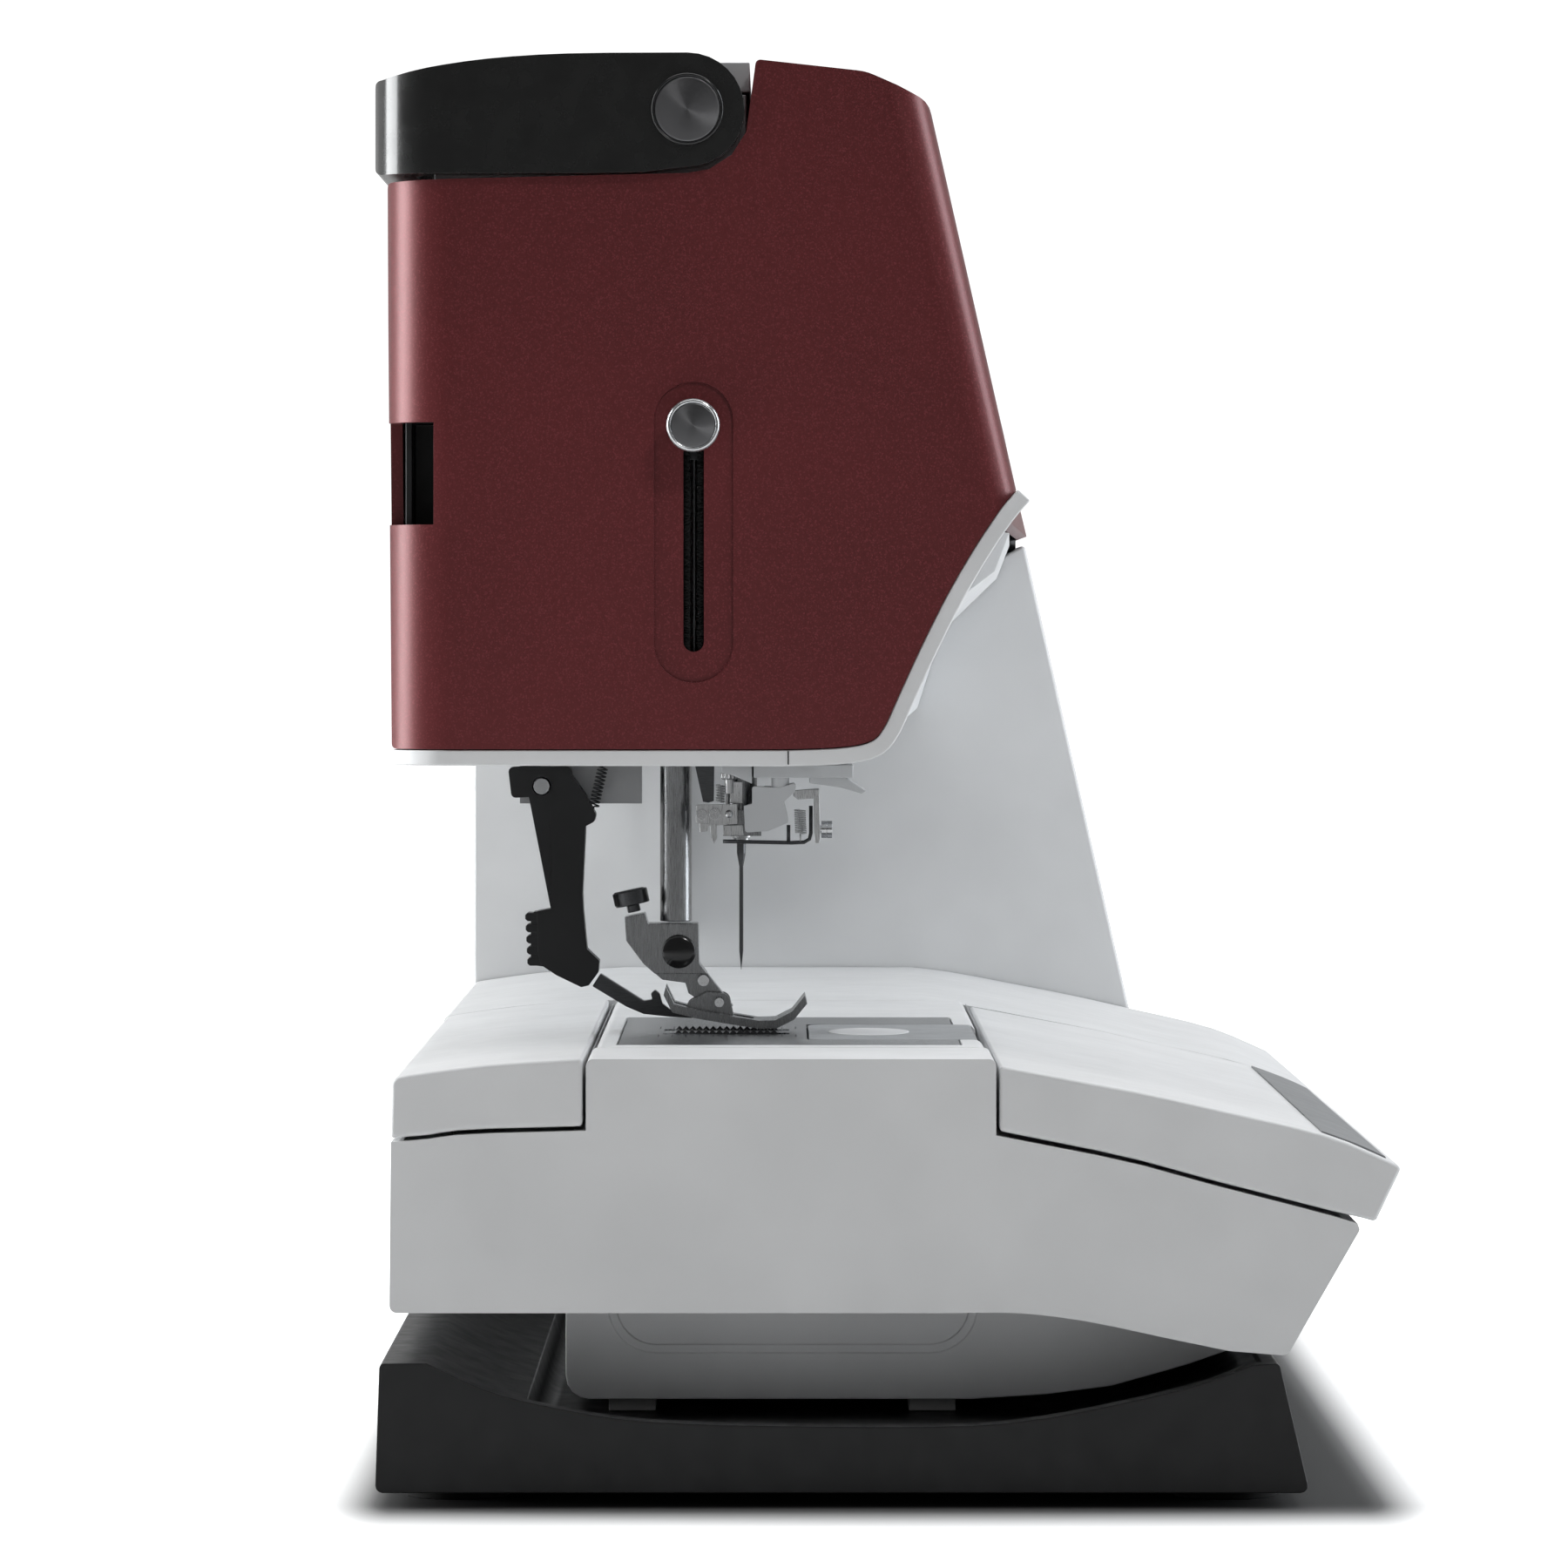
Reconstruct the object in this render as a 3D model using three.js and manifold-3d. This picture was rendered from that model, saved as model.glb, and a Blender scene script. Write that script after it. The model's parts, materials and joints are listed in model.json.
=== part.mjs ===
// A computerised sewing machine with a long arm, standing on its plinth.
// Frame: X runs along the machine from the head end (-X) to the handwheel (+X), the operator sits at -Y,
// Z is up, and the origin is under the middle of the machine on the table. Millimetres.
import * as THREE from "three";
import { mergeVertices } from "three/addons/utils/BufferGeometryUtils.js";
import Module from "manifold-3d";

const wasm = await Module();
wasm.setup();

// ---------------------------------------------------------------- driving dimensions
const GAP = 0.4; // clearance between pieces that touch or nearly touch
const LENGTH = 600; // left face of the accessory tray to the outer face of the handwheel
const X_LEFT = -LENGTH / 2;
const X_RIGHT = LENGTH / 2;
const WHEEL_THICK = 14; // the part of the handwheel outside the column
const BODY_RIGHT = X_RIGHT - WHEEL_THICK;
const COLUMN_WIDTH = 169; // along X
const COLUMN_X = BODY_RIGHT - COLUMN_WIDTH;
const NEEDLE_INSET = 103; // left face of the tray to the needle; the throat follows from the length
const NEEDLE_X = X_LEFT + NEEDLE_INSET;
const NEEDLE_Y = 29;
const HEAD_REACH = 45; // needle to the left face of the head
const HEAD_X = NEEDLE_X - HEAD_REACH;
const HEAD_LENGTH = 112; // head cover along X
const HEAD_SEAM = HEAD_X + HEAD_LENGTH;
const WALL = 2.6; // moulded housing wall

const FOOT_HEIGHT = 3.2; // rubber feet under the plinth
const PLINTH_TOP = 30;
const CRADLE_Z = 17; // lowest point of the plinth's scooped end wall
const CRADLE_FLOOR = 14.8; // floor inside the plinth, where the lower body stands
const PAD_HEIGHT = 3; // pads under the lower body
const BODY_Z = CRADLE_FLOOR + PAD_HEIGHT + GAP;
const BED_Z = 93; // sewing surface
const ARM_Z = 156; // underside of the head cover
const RIM = 3.5; // light rim under the head cover
const TOP_Z = 304;
const BAY_FLOOR = TOP_Z - 38; // underside of the spool bay
const BAY_TOP = TOP_Z - 7; // rim of the spool bay, under the lid
const FRAME_TOP = BAY_FLOOR - 4;
const REAR_Y = 101; // rear of the bed and of the column
const HEAD_REAR_Y = 105.4;
const LIP_Y = -108.5; // front edge of the bed
const ARM_BACK = 60; // free arm, rear side
const ARM_FRONT = -23.5; // free arm, front side
const TRAY_LENGTH = 243;
const TRAY_RIGHT = X_LEFT + TRAY_LENGTH;
const FREE_ARM_X = NEEDLE_X - 60; // left end of the free arm and of the lower body
const TRAY_BOTTOM = 40.4;

const LEAN = 0.2255; // front faces lean back by this much per mm of height
const HEAD_SETBACK = 11.6; // the head's front face stands this far behind the column's
const FRONT_AT_PLINTH = -83; // front face at the top of the plinth
const leanAngle = Math.atan(LEAN);
const frontY = (z, setback = 0) => FRONT_AT_PLINTH + (z - PLINTH_TOP) * LEAN + setback;
const SHOULDER_Y = frontY(TOP_Z - 9) + 15.24; // where the front's top edge starts to round over
const CREST_Y = SHOULDER_Y + 8; // where it meets the flat top

// ---------------------------------------------------------------- materials
const finish = (color, roughness, metalness = 0) =>
  new THREE.MeshStandardMaterial({ color, roughness, metalness });
const maroon = finish(0x4a191d, 0.45, 0.2);
const white = finish(0xd2d4d6, 0.5);
const shade = finish(0xa8abad, 0.55);
const black = finish(0x141516, 0.35);
const softBlack = finish(0x101010, 0.8);
const steel = finish(0x8d9093, 0.25, 1);
const darkSteel = finish(0x4d5053, 0.4, 1);
const alloy = finish(0x9a9c9e, 0.5, 0.9);
const glass = finish(0x0b0d10, 0.08);
const greyPlastic = finish(0x8e9296, 0.5);

// ---------------------------------------------------------------- solid modelling helpers
function solid(geometry) {
  const bare = geometry.index ? geometry.toNonIndexed() : geometry.clone();
  bare.deleteAttribute("normal");
  bare.deleteAttribute("uv");
  const merged = mergeVertices(bare, 1e-4);
  return new wasm.Manifold(
    new wasm.Mesh({
      numProp: 3,
      vertProperties: merged.attributes.position.array,
      triVerts: new Uint32Array(merged.index.array),
    }),
  );
}

function geometryOf(made) {
  const mesh = made.getMesh();
  const geometry = new THREE.BufferGeometry();
  geometry.setAttribute("position", new THREE.BufferAttribute(mesh.vertProperties, 3));
  geometry.setIndex(new THREE.BufferAttribute(mesh.triVerts, 1));
  geometry.computeVertexNormals();
  return geometry;
}

const union = (...solids) => solids.reduce((a, b) => a.add(b));
const cut = (from, ...tools) => tools.reduce((a, b) => a.subtract(b), from);
const placed = (geometry, matrix) => solid(geometry.applyMatrix4(matrix));

// An outline from corners [u, v, radius]; a corner with a radius becomes an arc of `steps` chords.
function outline(corners, steps = 5) {
  const points = [];
  corners.forEach(([u, v, radius = 0], i) => {
    const here = new THREE.Vector2(u, v);
    if (!radius) {
      points.push(here);
      return;
    }
    const before = corners[(i + corners.length - 1) % corners.length];
    const after = corners[(i + 1) % corners.length];
    const a = new THREE.Vector2(before[0], before[1]).sub(here);
    const b = new THREE.Vector2(after[0], after[1]).sub(here);
    const half = Math.acos(THREE.MathUtils.clamp(a.dot(b) / (a.length() * b.length()), -1, 1)) / 2;
    const back = Math.min(radius / Math.tan(half), 0.49 * a.length(), 0.49 * b.length());
    const fitted = back * Math.tan(half);
    a.normalize();
    b.normalize();
    const centre = here.clone().addScaledVector(a.clone().add(b).normalize(), fitted / Math.sin(half));
    const from = here.clone().addScaledVector(a, back).sub(centre);
    const to = here.clone().addScaledVector(b, back).sub(centre);
    const sweep = Math.atan2(from.cross(to), from.dot(to));
    for (let k = 0; k <= steps; k++) {
      points.push(from.clone().rotateAround(new THREE.Vector2(), (sweep * k) / steps).add(centre));
    }
  });
  return points;
}

// Points of a smooth curve through the given ones.
const curve = (through, steps) =>
  new THREE.SplineCurve(through.map(([u, v]) => new THREE.Vector2(u, v)))
    .getPoints(steps)
    .map((p) => [p.x, p.y]);

// A polygon moved inwards by d, corner by corner.
function inset(points, d) {
  const ring = THREE.ShapeUtils.area(points) < 0 ? [...points].reverse() : points;
  const clean = ring.filter((p, i) => p.distanceTo(ring[(i + 1) % ring.length]) > 1e-3);
  return clean.map((p, i) => {
    const before = clean[(i + clean.length - 1) % clean.length];
    const after = clean[(i + 1) % clean.length];
    const inward = (a, b) => new THREE.Vector2(a.y - b.y, b.x - a.x).normalize();
    const n0 = inward(before, p);
    const n1 = inward(p, after);
    const along = n0.clone().add(n1);
    return p.clone().addScaledVector(along, d / Math.max(0.3, 1 + n0.dot(n1)));
  });
}

// Prisms: outline points are [y, z] along X, [x, z] along Y and [x, y] along Z.
const alongX = new THREE.Matrix4().makeBasis(
  new THREE.Vector3(0, 1, 0),
  new THREE.Vector3(0, 0, 1),
  new THREE.Vector3(1, 0, 0),
);
const alongY = new THREE.Matrix4().makeBasis(
  new THREE.Vector3(1, 0, 0),
  new THREE.Vector3(0, 0, 1),
  new THREE.Vector3(0, -1, 0),
);
function prism(points, from, to, basis = new THREE.Matrix4()) {
  const shape = new THREE.Shape(points);
  const geometry = new THREE.ExtrudeGeometry(shape, { depth: to - from, bevelEnabled: false, steps: 1 });
  return placed(geometry.translate(0, 0, from), basis);
}
const prismX = (points, x0, x1) => prism(points, x0, x1, alongX);
const prismY = (points, y0, y1) => prism(points, -y1, -y0, alongY);
const prismZ = (points, z0, z1) => prism(points, z0, z1);
const circle = (u, v, r, n = 24) =>
  Array.from({ length: n }, (_, i) => {
    const a = (2 * Math.PI * i) / n;
    return new THREE.Vector2(u + r * Math.cos(a), v + r * Math.sin(a));
  });
const rodX = (y, z, r, x0, x1, n) => prismX(circle(y, z, r, n), x0, x1);
const rodZ = (x, y, r, z0, z1, n) => prismZ(circle(x, y, r, n), z0, z1);
const block = (x0, x1, y0, y1, z0, z1) =>
  solid(new THREE.BoxGeometry(x1 - x0, y1 - y0, z1 - z0).translate((x0 + x1) / 2, (y0 + y1) / 2, (z0 + z1) / 2));
const rect = (u0, u1, v0, v1, r = 0, steps = 4) =>
  outline([[u0, v0, r], [u1, v0, r], [u1, v1, r], [u0, v1, r]], steps);

// A closed skin through cross-sections [{x, points}], all with the same number of points.
function loft(sections) {
  const n = sections[0].points.length;
  const faces = THREE.ShapeUtils.triangulateShape(sections[0].points, []);
  const at = (s, i) => new THREE.Vector3(
    sections[s].x,
    sections[s].points[i % n].x,
    sections[s].points[i % n].y,
  );
  const turned = THREE.ShapeUtils.area(sections[0].points) > 0;
  const vertices = [];
  const put = (a, b, c) => (turned ? [a, b, c] : [a, c, b]).forEach((v) => vertices.push(v.x, v.y, v.z));
  const last = sections.length - 1;
  for (const [a, b, c] of faces) {
    put(at(0, a), at(0, c), at(0, b));
    put(at(last, a), at(last, b), at(last, c));
  }
  for (let s = 0; s < last; s++) {
    for (let i = 0; i < n; i++) {
      put(at(s, i), at(s, i + 1), at(s + 1, i + 1));
      put(at(s, i), at(s + 1, i + 1), at(s + 1, i));
    }
  }
  const geometry = new THREE.BufferGeometry();
  geometry.setAttribute("position", new THREE.BufferAttribute(new Float32Array(vertices), 3));
  return solid(geometry);
}

// ---------------------------------------------------------------- the assembly
const machine = new THREE.Group();
function add(name, made, material, position = [0, 0, 0], rotation = [0, 0, 0]) {
  const mesh = new THREE.Mesh(geometryOf(made), material);
  mesh.name = name;
  mesh.position.set(...position);
  mesh.rotation.set(...rotation);
  machine.add(mesh);
  return mesh;
}

// ---------------------------------------------------------------- plinth
const plinthRear = [REAR_Y + 3.2, REAR_Y + 2.3]; // at its foot and at its top
const scoopLine = curve([
  [REAR_Y - 7.5, PLINTH_TOP], [80.9, 24.3], [66.5, 20.7], [48.5, CRADLE_Z + 1], [19.7, CRADLE_Z],
  [-16.4, CRADLE_Z],
  [-34.4, CRADLE_Z + 1.7], [-52.4, CRADLE_Z + 5.2], [-66.8, CRADLE_Z + 8.8], [-77, PLINTH_TOP - 0.4],
], 30);
const scoop = outline([
  [plinthRear[0], FOOT_HEIGHT, 1.5], [plinthRear[1], PLINTH_TOP, 1], ...scoopLine,
  [FRONT_AT_PLINTH + 0.2, PLINTH_TOP, 1],
  [frontY(FOOT_HEIGHT), FOOT_HEIGHT, 1.5],
], 3);
const END_WALL = 6; // the scooped wall at each end of the plinth; the cradle behind it is deeper
const cradlePocket = prismX(
  outline([
    [77, PLINTH_TOP + 9], [71, CRADLE_FLOOR, 4], [-36, CRADLE_FLOOR], [-58, 19.5], [-72, 24], [-79.5, 28],
    [-79.5, PLINTH_TOP + 9],
  ]),
  X_LEFT + END_WALL, BODY_RIGHT - END_WALL,
);
add("base_plinth", cut(prismX(scoop, X_LEFT, BODY_RIGHT), cradlePocket), black);
const FOOT_INSET = [26, 16];
for (const [side, x] of [["left", X_LEFT + FOOT_INSET[0]], ["right", BODY_RIGHT - FOOT_INSET[0]]]) {
  for (const [end, y] of [["front", frontY(FOOT_HEIGHT) + FOOT_INSET[1]], ["rear", plinthRear[0] - FOOT_INSET[1]]]) {
    add(`rubber_foot_${end}_${side}`, rodZ(0, 0, 11, 0, FOOT_HEIGHT - GAP / 4, 16), softBlack, [x, y, 0]);
  }
}

// ---------------------------------------------------------------- lower body and free arm
const PAN_TOP = TRAY_BOTTOM - 1.4; // the pan's rim passes under the tray
const panOuter = outline([
  [66, BODY_Z, 5], [66, PAN_TOP, 1.5], [-36, PAN_TOP], [-58, 34.6], [-70, 32.4], [-80, 30.4, 2], [-66, 25.5],
  [-50, 21], [-36, BODY_Z + 1, 8], [-20, BODY_Z],
], 4);
const panInner = outline([[66 - WALL, BODY_Z + WALL], [66 - WALL, 60], [-30, 60], [-30, BODY_Z + WALL]]);
const panelGroove = cut(
  prismX(rect(-21.5, 57, 28, 90, 10, 8), FREE_ARM_X - 1, FREE_ARM_X + 0.6),
  prismX(rect(-19.7, 55.2, 29.8, 90, 8.4, 8), FREE_ARM_X - 2, FREE_ARM_X + 1),
);
const bodyPad = (x, y) => block(x - 9, x + 9, y - 5, y + 5, CRADLE_FLOOR + GAP / 2, BODY_Z + 1);
add(
  "lower_body_pan",
  cut(
    union(
      prismX(panOuter, FREE_ARM_X, TRAY_RIGHT - GAP),
      ...[FREE_ARM_X + 16, TRAY_RIGHT - 16].flatMap((x) => [bodyPad(x, 52), bodyPad(x, -12)]),
    ),
    prismX(panInner, FREE_ARM_X + WALL, TRAY_RIGHT + 1),
    panelGroove,
  ),
  white,
);

const HOOK_Y = NEEDLE_Y - 18; // axis of the rotary hook
const HOOK_R = 16.8;
const HOOK_Z = 73; // floor of the hook's cup
const PLATE = { x0: NEEDLE_X - 52, x1: NEEDLE_X + 61, y0: -18, y1: 55, thick: 1.4 };
const COVER = { x0: NEEDLE_X - 31, x1: NEEDLE_X + 30, y0: ARM_FRONT + 1.4, y1: 14.2, thick: 2 };
const armOuter = outline([
  [ARM_BACK, PAN_TOP + GAP], [ARM_BACK, BED_Z, 2], [ARM_FRONT, BED_Z, 2], [ARM_FRONT, PAN_TOP + GAP],
]);
const armInner = rect(ARM_FRONT + WALL, ARM_BACK - WALL, 0, BED_Z - 4);
const plateSeat = block(
  PLATE.x0 - GAP,
  PLATE.x1 + GAP,
  PLATE.y0 - GAP,
  PLATE.y1 + GAP,
  BED_Z - PLATE.thick - GAP,
  99,
);
const plateWell = block(PLATE.x0 + 4, PLATE.x1 - 4, PLATE.y0 + 4, PLATE.y1 - 4, BED_Z - 9, 99);
const coverNotch = block(COVER.x0 - GAP, COVER.x1 + GAP, ARM_FRONT - 1, 0, BED_Z - COVER.thick - GAP, 99);
add(
  "free_arm_housing",
  cut(
    prismX(armOuter, FREE_ARM_X, TRAY_RIGHT - GAP),
    prismX(armInner, FREE_ARM_X + WALL, TRAY_RIGHT + 1),
    plateSeat, plateWell, coverNotch,
  ),
  white,
);

// Needle plate with feed slots, needle hole and the opening under the bobbin cover.
const FEED = { rows: [-7.6, 7.6], width: 3.4, y0: 21, y1: 43.5 };
const feedSlot = (dx) => block(NEEDLE_X + dx - 2.6, NEEDLE_X + dx + 2.6, FEED.y0 - 2.6, FEED.y1 + 2.6, 80, 99);
const coverOpening = block(COVER.x0 - GAP, COVER.x1 + GAP, PLATE.y0 - 9, COVER.y1 + GAP, 80, 99);
add(
  "needle_plate",
  cut(
    block(PLATE.x0, PLATE.x1, PLATE.y0, PLATE.y1, BED_Z - PLATE.thick, BED_Z),
    ...FEED.rows.map(feedSlot),
    prismZ(rect(NEEDLE_X - 4.6, NEEDLE_X + 4.6, NEEDLE_Y - 0.9, NEEDLE_Y + 0.9, 0.8, 3), 80, 99),
    coverOpening,
  ),
  steel,
);
add(
  "bobbin_cover",
  prismZ(rect(COVER.x0, COVER.x1, COVER.y0, COVER.y1, 4), BED_Z - COVER.thick, BED_Z),
  greyPlastic,
);

// Feed dogs: two toothed bars on one carrier under the plate.
const TOOTH = 1.5;
const feedTop = BED_Z + 0.9;
const feedTeeth = [];
for (let y = FEED.y0; y < FEED.y1 - 0.1; y += TOOTH) feedTeeth.push(
  [y, feedTop - 0.8], [y + TOOTH / 2, feedTop],
);
const feedRow = (dx) =>
  prismX(
    [...feedTeeth, [FEED.y1, feedTop - 0.8], [FEED.y1, BED_Z - 5.2], [FEED.y0, BED_Z - 5.2]].map(
      ([y, z]) => new THREE.Vector2(y, z),
    ),
    NEEDLE_X + dx - FEED.width / 2, NEEDLE_X + dx + FEED.width / 2,
  );
const feedCarrier = block(NEEDLE_X - 9.3, NEEDLE_X + 9.3, 32, FEED.y1, BED_Z - 9, BED_Z - 4.6);
add("feed_dog", union(...FEED.rows.map(feedRow), feedCarrier), darkSteel);

// ---------------------------------------------------------------- fixed bed, right of the tray
const bedTop = [
  [REAR_Y, BED_Z - 4, 2], ...curve([[REAR_Y - 4, BED_Z - 3.3], [81, BED_Z - 1.2], [61, BED_Z]], 7),
  ...curve(
    [[-14, BED_Z], [-25, BED_Z - 1.4], [-52.3, 86.4], [-69, 82.7], [-91.7, 77.4], [LIP_Y + 3, 71.8]],
    16,
  ),
];
const lipTip = [LIP_Y, 70.4, 2];
const bedOuter = outline([
  [REAR_Y, 36, 2], ...bedTop, lipTip, [-103, 58.5, 2], [-84.8, 32, 2], [-62, 36], [-36, PAN_TOP],
  [-36, 33], [66, 33], [66, 36],
]);
const bedHollow = outline([
  [REAR_Y - WALL, 40], [REAR_Y - WALL, BED_Z - 8], [-22, BED_Z - 5], [-69, 78], [-98, 69], [-96, 62],
  [-82, 40], [-30, 40], [-30, 20], [62, 20], [62, 40],
]);
add(
  "fixed_bed",
  cut(prismX(bedOuter, TRAY_RIGHT, COLUMN_X - GAP), prismX(bedHollow, TRAY_RIGHT - 1, COLUMN_X + 1)),
  white,
);

// ---------------------------------------------------------------- column
const ARM_SKIN_Z = 161; // underside of the arm
const FASCIA_Z = 201; // lower edge of the front fascia
const columnCorners = [
  [REAR_Y, PLINTH_TOP + 1.4, 3], [REAR_Y, ARM_SKIN_Z + 30], [-20, ARM_SKIN_Z + 30],
  [frontY(FASCIA_Z + 3), FASCIA_Z + 3, 1],
  [frontY(PLINTH_TOP + 1.4), PLINTH_TOP + 1.4, 2], [-66, 28], [-50, 23.6], [-30, CRADLE_Z + 2.2],
  [40, CRADLE_Z + 2.2],
  [60, 23.4], [70, PLINTH_TOP + 1.4],
];
const columnOuter = outline(columnCorners);
const columnInner = inset(outline(columnCorners.map(([y, z]) => [y, z])), WALL);
const wallHole = rect(-18, 92, 42, BED_Z - 10);
add(
  "column_cover",
  cut(
    prismX(columnOuter, COLUMN_X, BODY_RIGHT),
    prismX(columnInner, COLUMN_X + WALL, BODY_RIGHT - WALL),
    prismX(rect(-16, REAR_Y - 6, ARM_SKIN_Z, 240), COLUMN_X + WALL, BODY_RIGHT - WALL),
    prismX(wallHole, COLUMN_X - 1, COLUMN_X + WALL + 1),
    block(BODY_RIGHT - 40, BODY_RIGHT + 1, 40, 74, 52, 92),
  ),
  white,
);

// ---------------------------------------------------------------- arm shells
const armUnder = (setback, lift) => [
  [HEAD_REAR_Y - 1.4, ARM_SKIN_Z - lift], [HEAD_REAR_Y - 1.4, ARM_SKIN_Z - lift + WALL],
  [-18 + 1.6 * setback, ARM_SKIN_Z - lift + WALL], [-24 + 1.5 * setback, 182],
  [frontY(FASCIA_Z, setback) + 7, FASCIA_Z - 2], [frontY(FASCIA_Z, setback) + 3.4, FASCIA_Z + 3.2],
  [frontY(FASCIA_Z, setback) + 0.6, FASCIA_Z + 2.8], [frontY(FASCIA_Z, setback) + 4, FASCIA_Z - 6],
  [-28 + 1.5 * setback, 181], [-22 + 1.6 * setback, ARM_SKIN_Z - lift],
].map(([y, z]) => new THREE.Vector2(y, z));
add(
  "arm_under_cover",
  loft([
    { x: HEAD_SEAM + GAP, points: armUnder(HEAD_SETBACK, 4) },
    { x: COLUMN_X - GAP, points: armUnder(4, 0) },
  ]),
  white,
);

const fasciaOuter = (setback) => [
  [25.4, TOP_Z], [CREST_Y + 2, TOP_Z - 2.6], [SHOULDER_Y - 1.5 + setback * 0.4, TOP_Z - 5.6],
  [frontY(TOP_Z - 9, setback), TOP_Z - 9],
  [frontY(FASCIA_Z + 5, setback) - 1, FASCIA_Z + 5], [frontY(FASCIA_Z + 5, setback) + 1.8, FASCIA_Z + 4.2],
  [frontY(TOP_Z - 12, setback) + WALL, TOP_Z - 12], [SHOULDER_Y + 2 + setback * 0.4, TOP_Z - 8],
  [CREST_Y + 1, TOP_Z - 5.2], [25.4, TOP_Z - 3],
].map(([y, z]) => new THREE.Vector2(y, z));
const SCREEN = { x0: COLUMN_X + 10, x1: BODY_RIGHT - 12, z0: FASCIA_Z + 15, z1: TOP_Z - 18 };
const screenSeat = (grow, depth) => {
  const half = [(SCREEN.x1 - SCREEN.x0) / 2 + grow, (SCREEN.z1 - SCREEN.z0) / 2 + grow];
  const plate = prismY(rect(-half[0], half[0], -half[1], half[1], 4), -depth, depth);
  const middle = (SCREEN.z0 + SCREEN.z1) / 2;
  return plate
    .rotate([(-leanAngle * 180) / Math.PI, 0, 0])
    .translate([(SCREEN.x0 + SCREEN.x1) / 2, frontY(middle), middle]);
};
add(
  "front_fascia",
  cut(
    loft([
      { x: HEAD_SEAM + GAP, points: fasciaOuter(HEAD_SETBACK) },
      { x: COLUMN_X, points: fasciaOuter(0) },
      { x: BODY_RIGHT, points: fasciaOuter(0) },
    ]),
    screenSeat(GAP, 1.5),
  ),
  maroon,
);
add("touch_screen", screenSeat(0, 1), glass);

const LID_BACK = 95; // lid hinge line
const backOuter = outline([
  [HEAD_REAR_Y - 1.4, ARM_SKIN_Z + WALL + GAP], [HEAD_REAR_Y - 1.4, BAY_FLOOR + 11, 2],
  [LID_BACK + 3, BAY_FLOOR + 13], [LID_BACK + 3, BAY_TOP],
  [LID_BACK + 1, BAY_TOP], [LID_BACK + 1, BAY_FLOOR + 10.4], [HEAD_REAR_Y - 1.4 - WALL, BAY_FLOOR + 8.4],
  [HEAD_REAR_Y - 1.4 - WALL, ARM_SKIN_Z + WALL + GAP],
]);
add(
  "arm_rear_cover",
  cut(
    prismX(backOuter, HEAD_SEAM + GAP, BODY_RIGHT),
    prismX(rect(80, 120, 100, ARM_SKIN_Z + 30 + GAP), COLUMN_X - GAP, BODY_RIGHT + 1),
  ),
  white,
);
// Right end cover closes the arm over the column; the shaft passes through it.
const SHAFT_Y = NEEDLE_Y;
const SHAFT_Z = 236;
const SHAFT_R = 5;
const endOuter = outline([
  [HEAD_REAR_Y - 1.8 - WALL, ARM_SKIN_Z + 30.6], [HEAD_REAR_Y - 1.8 - WALL, BAY_FLOOR + 7.4, 1],
  [LID_BACK + 0.4, BAY_FLOOR + 9.6],
  [LID_BACK + 0.4, BAY_TOP + 0.2], [26.4, BAY_TOP + 0.2], [25, TOP_Z - 3.8], [CREST_Y + 1.2, TOP_Z - 6],
  [SHOULDER_Y + 2.4, TOP_Z - 9],
  [frontY(TOP_Z - 12) + WALL + 1, TOP_Z - 12.6], [frontY(FASCIA_Z + 7) + 2.6, FASCIA_Z + 7],
  [-19, ARM_SKIN_Z + 30.6],
]);
add(
  "right_end_cover",
  cut(
    prismX(endOuter, BODY_RIGHT - WALL, BODY_RIGHT),
    rodX(SHAFT_Y, SHAFT_Z, SHAFT_R + 1, BODY_RIGHT - 9, BODY_RIGHT + 9),
  ),
  white,
);

// ---------------------------------------------------------------- head cover and rim
const headCurve = curve([
  [-30.6, 211.9], [-26.6, 207.2], [-21.4, 199.5], [-15.4, 189.2], [-9.4, 177.2], [-4.7, 166.9], [-1.7, 160.5],
  [1.4, 157.6], [8.4, ARM_Z + 0.4], [19.6, ARM_Z],
], 28);
const HANDLE = { y: 40.3, z: TOP_Z - 11, r: 12.2, z0: TOP_Z - 24.6, thick: 9 };
const notchArc = [200, 225, 250, 270].map((a) => {
  const t = THREE.MathUtils.degToRad(a);
  return [HANDLE.y + (HANDLE.r + 1.2) * Math.cos(t), HANDLE.z + (HANDLE.r + 1.2) * Math.sin(t)];
});
const headCorners = [
  [HEAD_REAR_Y - 1.2, ARM_Z, 1], [HEAD_REAR_Y, HANDLE.z0 - 1.4, 1], ...[...notchArc].reverse(),
  [25.6, TOP_Z, 1],
  [CREST_Y + 2, TOP_Z - 2.6, 12], [SHOULDER_Y - 1.5 + HEAD_SETBACK * 0.4, TOP_Z - 5.6],
  [frontY(TOP_Z - 9, HEAD_SETBACK), TOP_Z - 9, 5], ...headCurve,
];
const headOutline = outline(headCorners, 3);
const headHollow = inset(outline(headCorners.map(([y, z]) => [y, z])), WALL);
const CORNER_R = 15; // the head's upright rear corner
const FRONT_R = 8; // the head's leaning front corner
const planOf = (wall, right) => outline([
  [HEAD_X + wall, -80], [right, -80], [right, HEAD_REAR_Y - wall],
  [HEAD_X + wall, HEAD_REAR_Y - wall, CORNER_R - wall],
], 8);
const headPlan = planOf(0, HEAD_SEAM);
const frontPrism = (wall, right) =>
  solid(
    new THREE.ExtrudeGeometry(
      new THREE.Shape(
        outline([[HEAD_X + wall, wall, FRONT_R - wall], [right, wall], [right, 200], [HEAD_X + wall, 200]], 8),
      ),
      { depth: TOP_Z - 44, bevelEnabled: false },
    )
      .rotateX(-leanAngle)
      .translate(0, frontY(120, HEAD_SETBACK), 120),
  );
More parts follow.
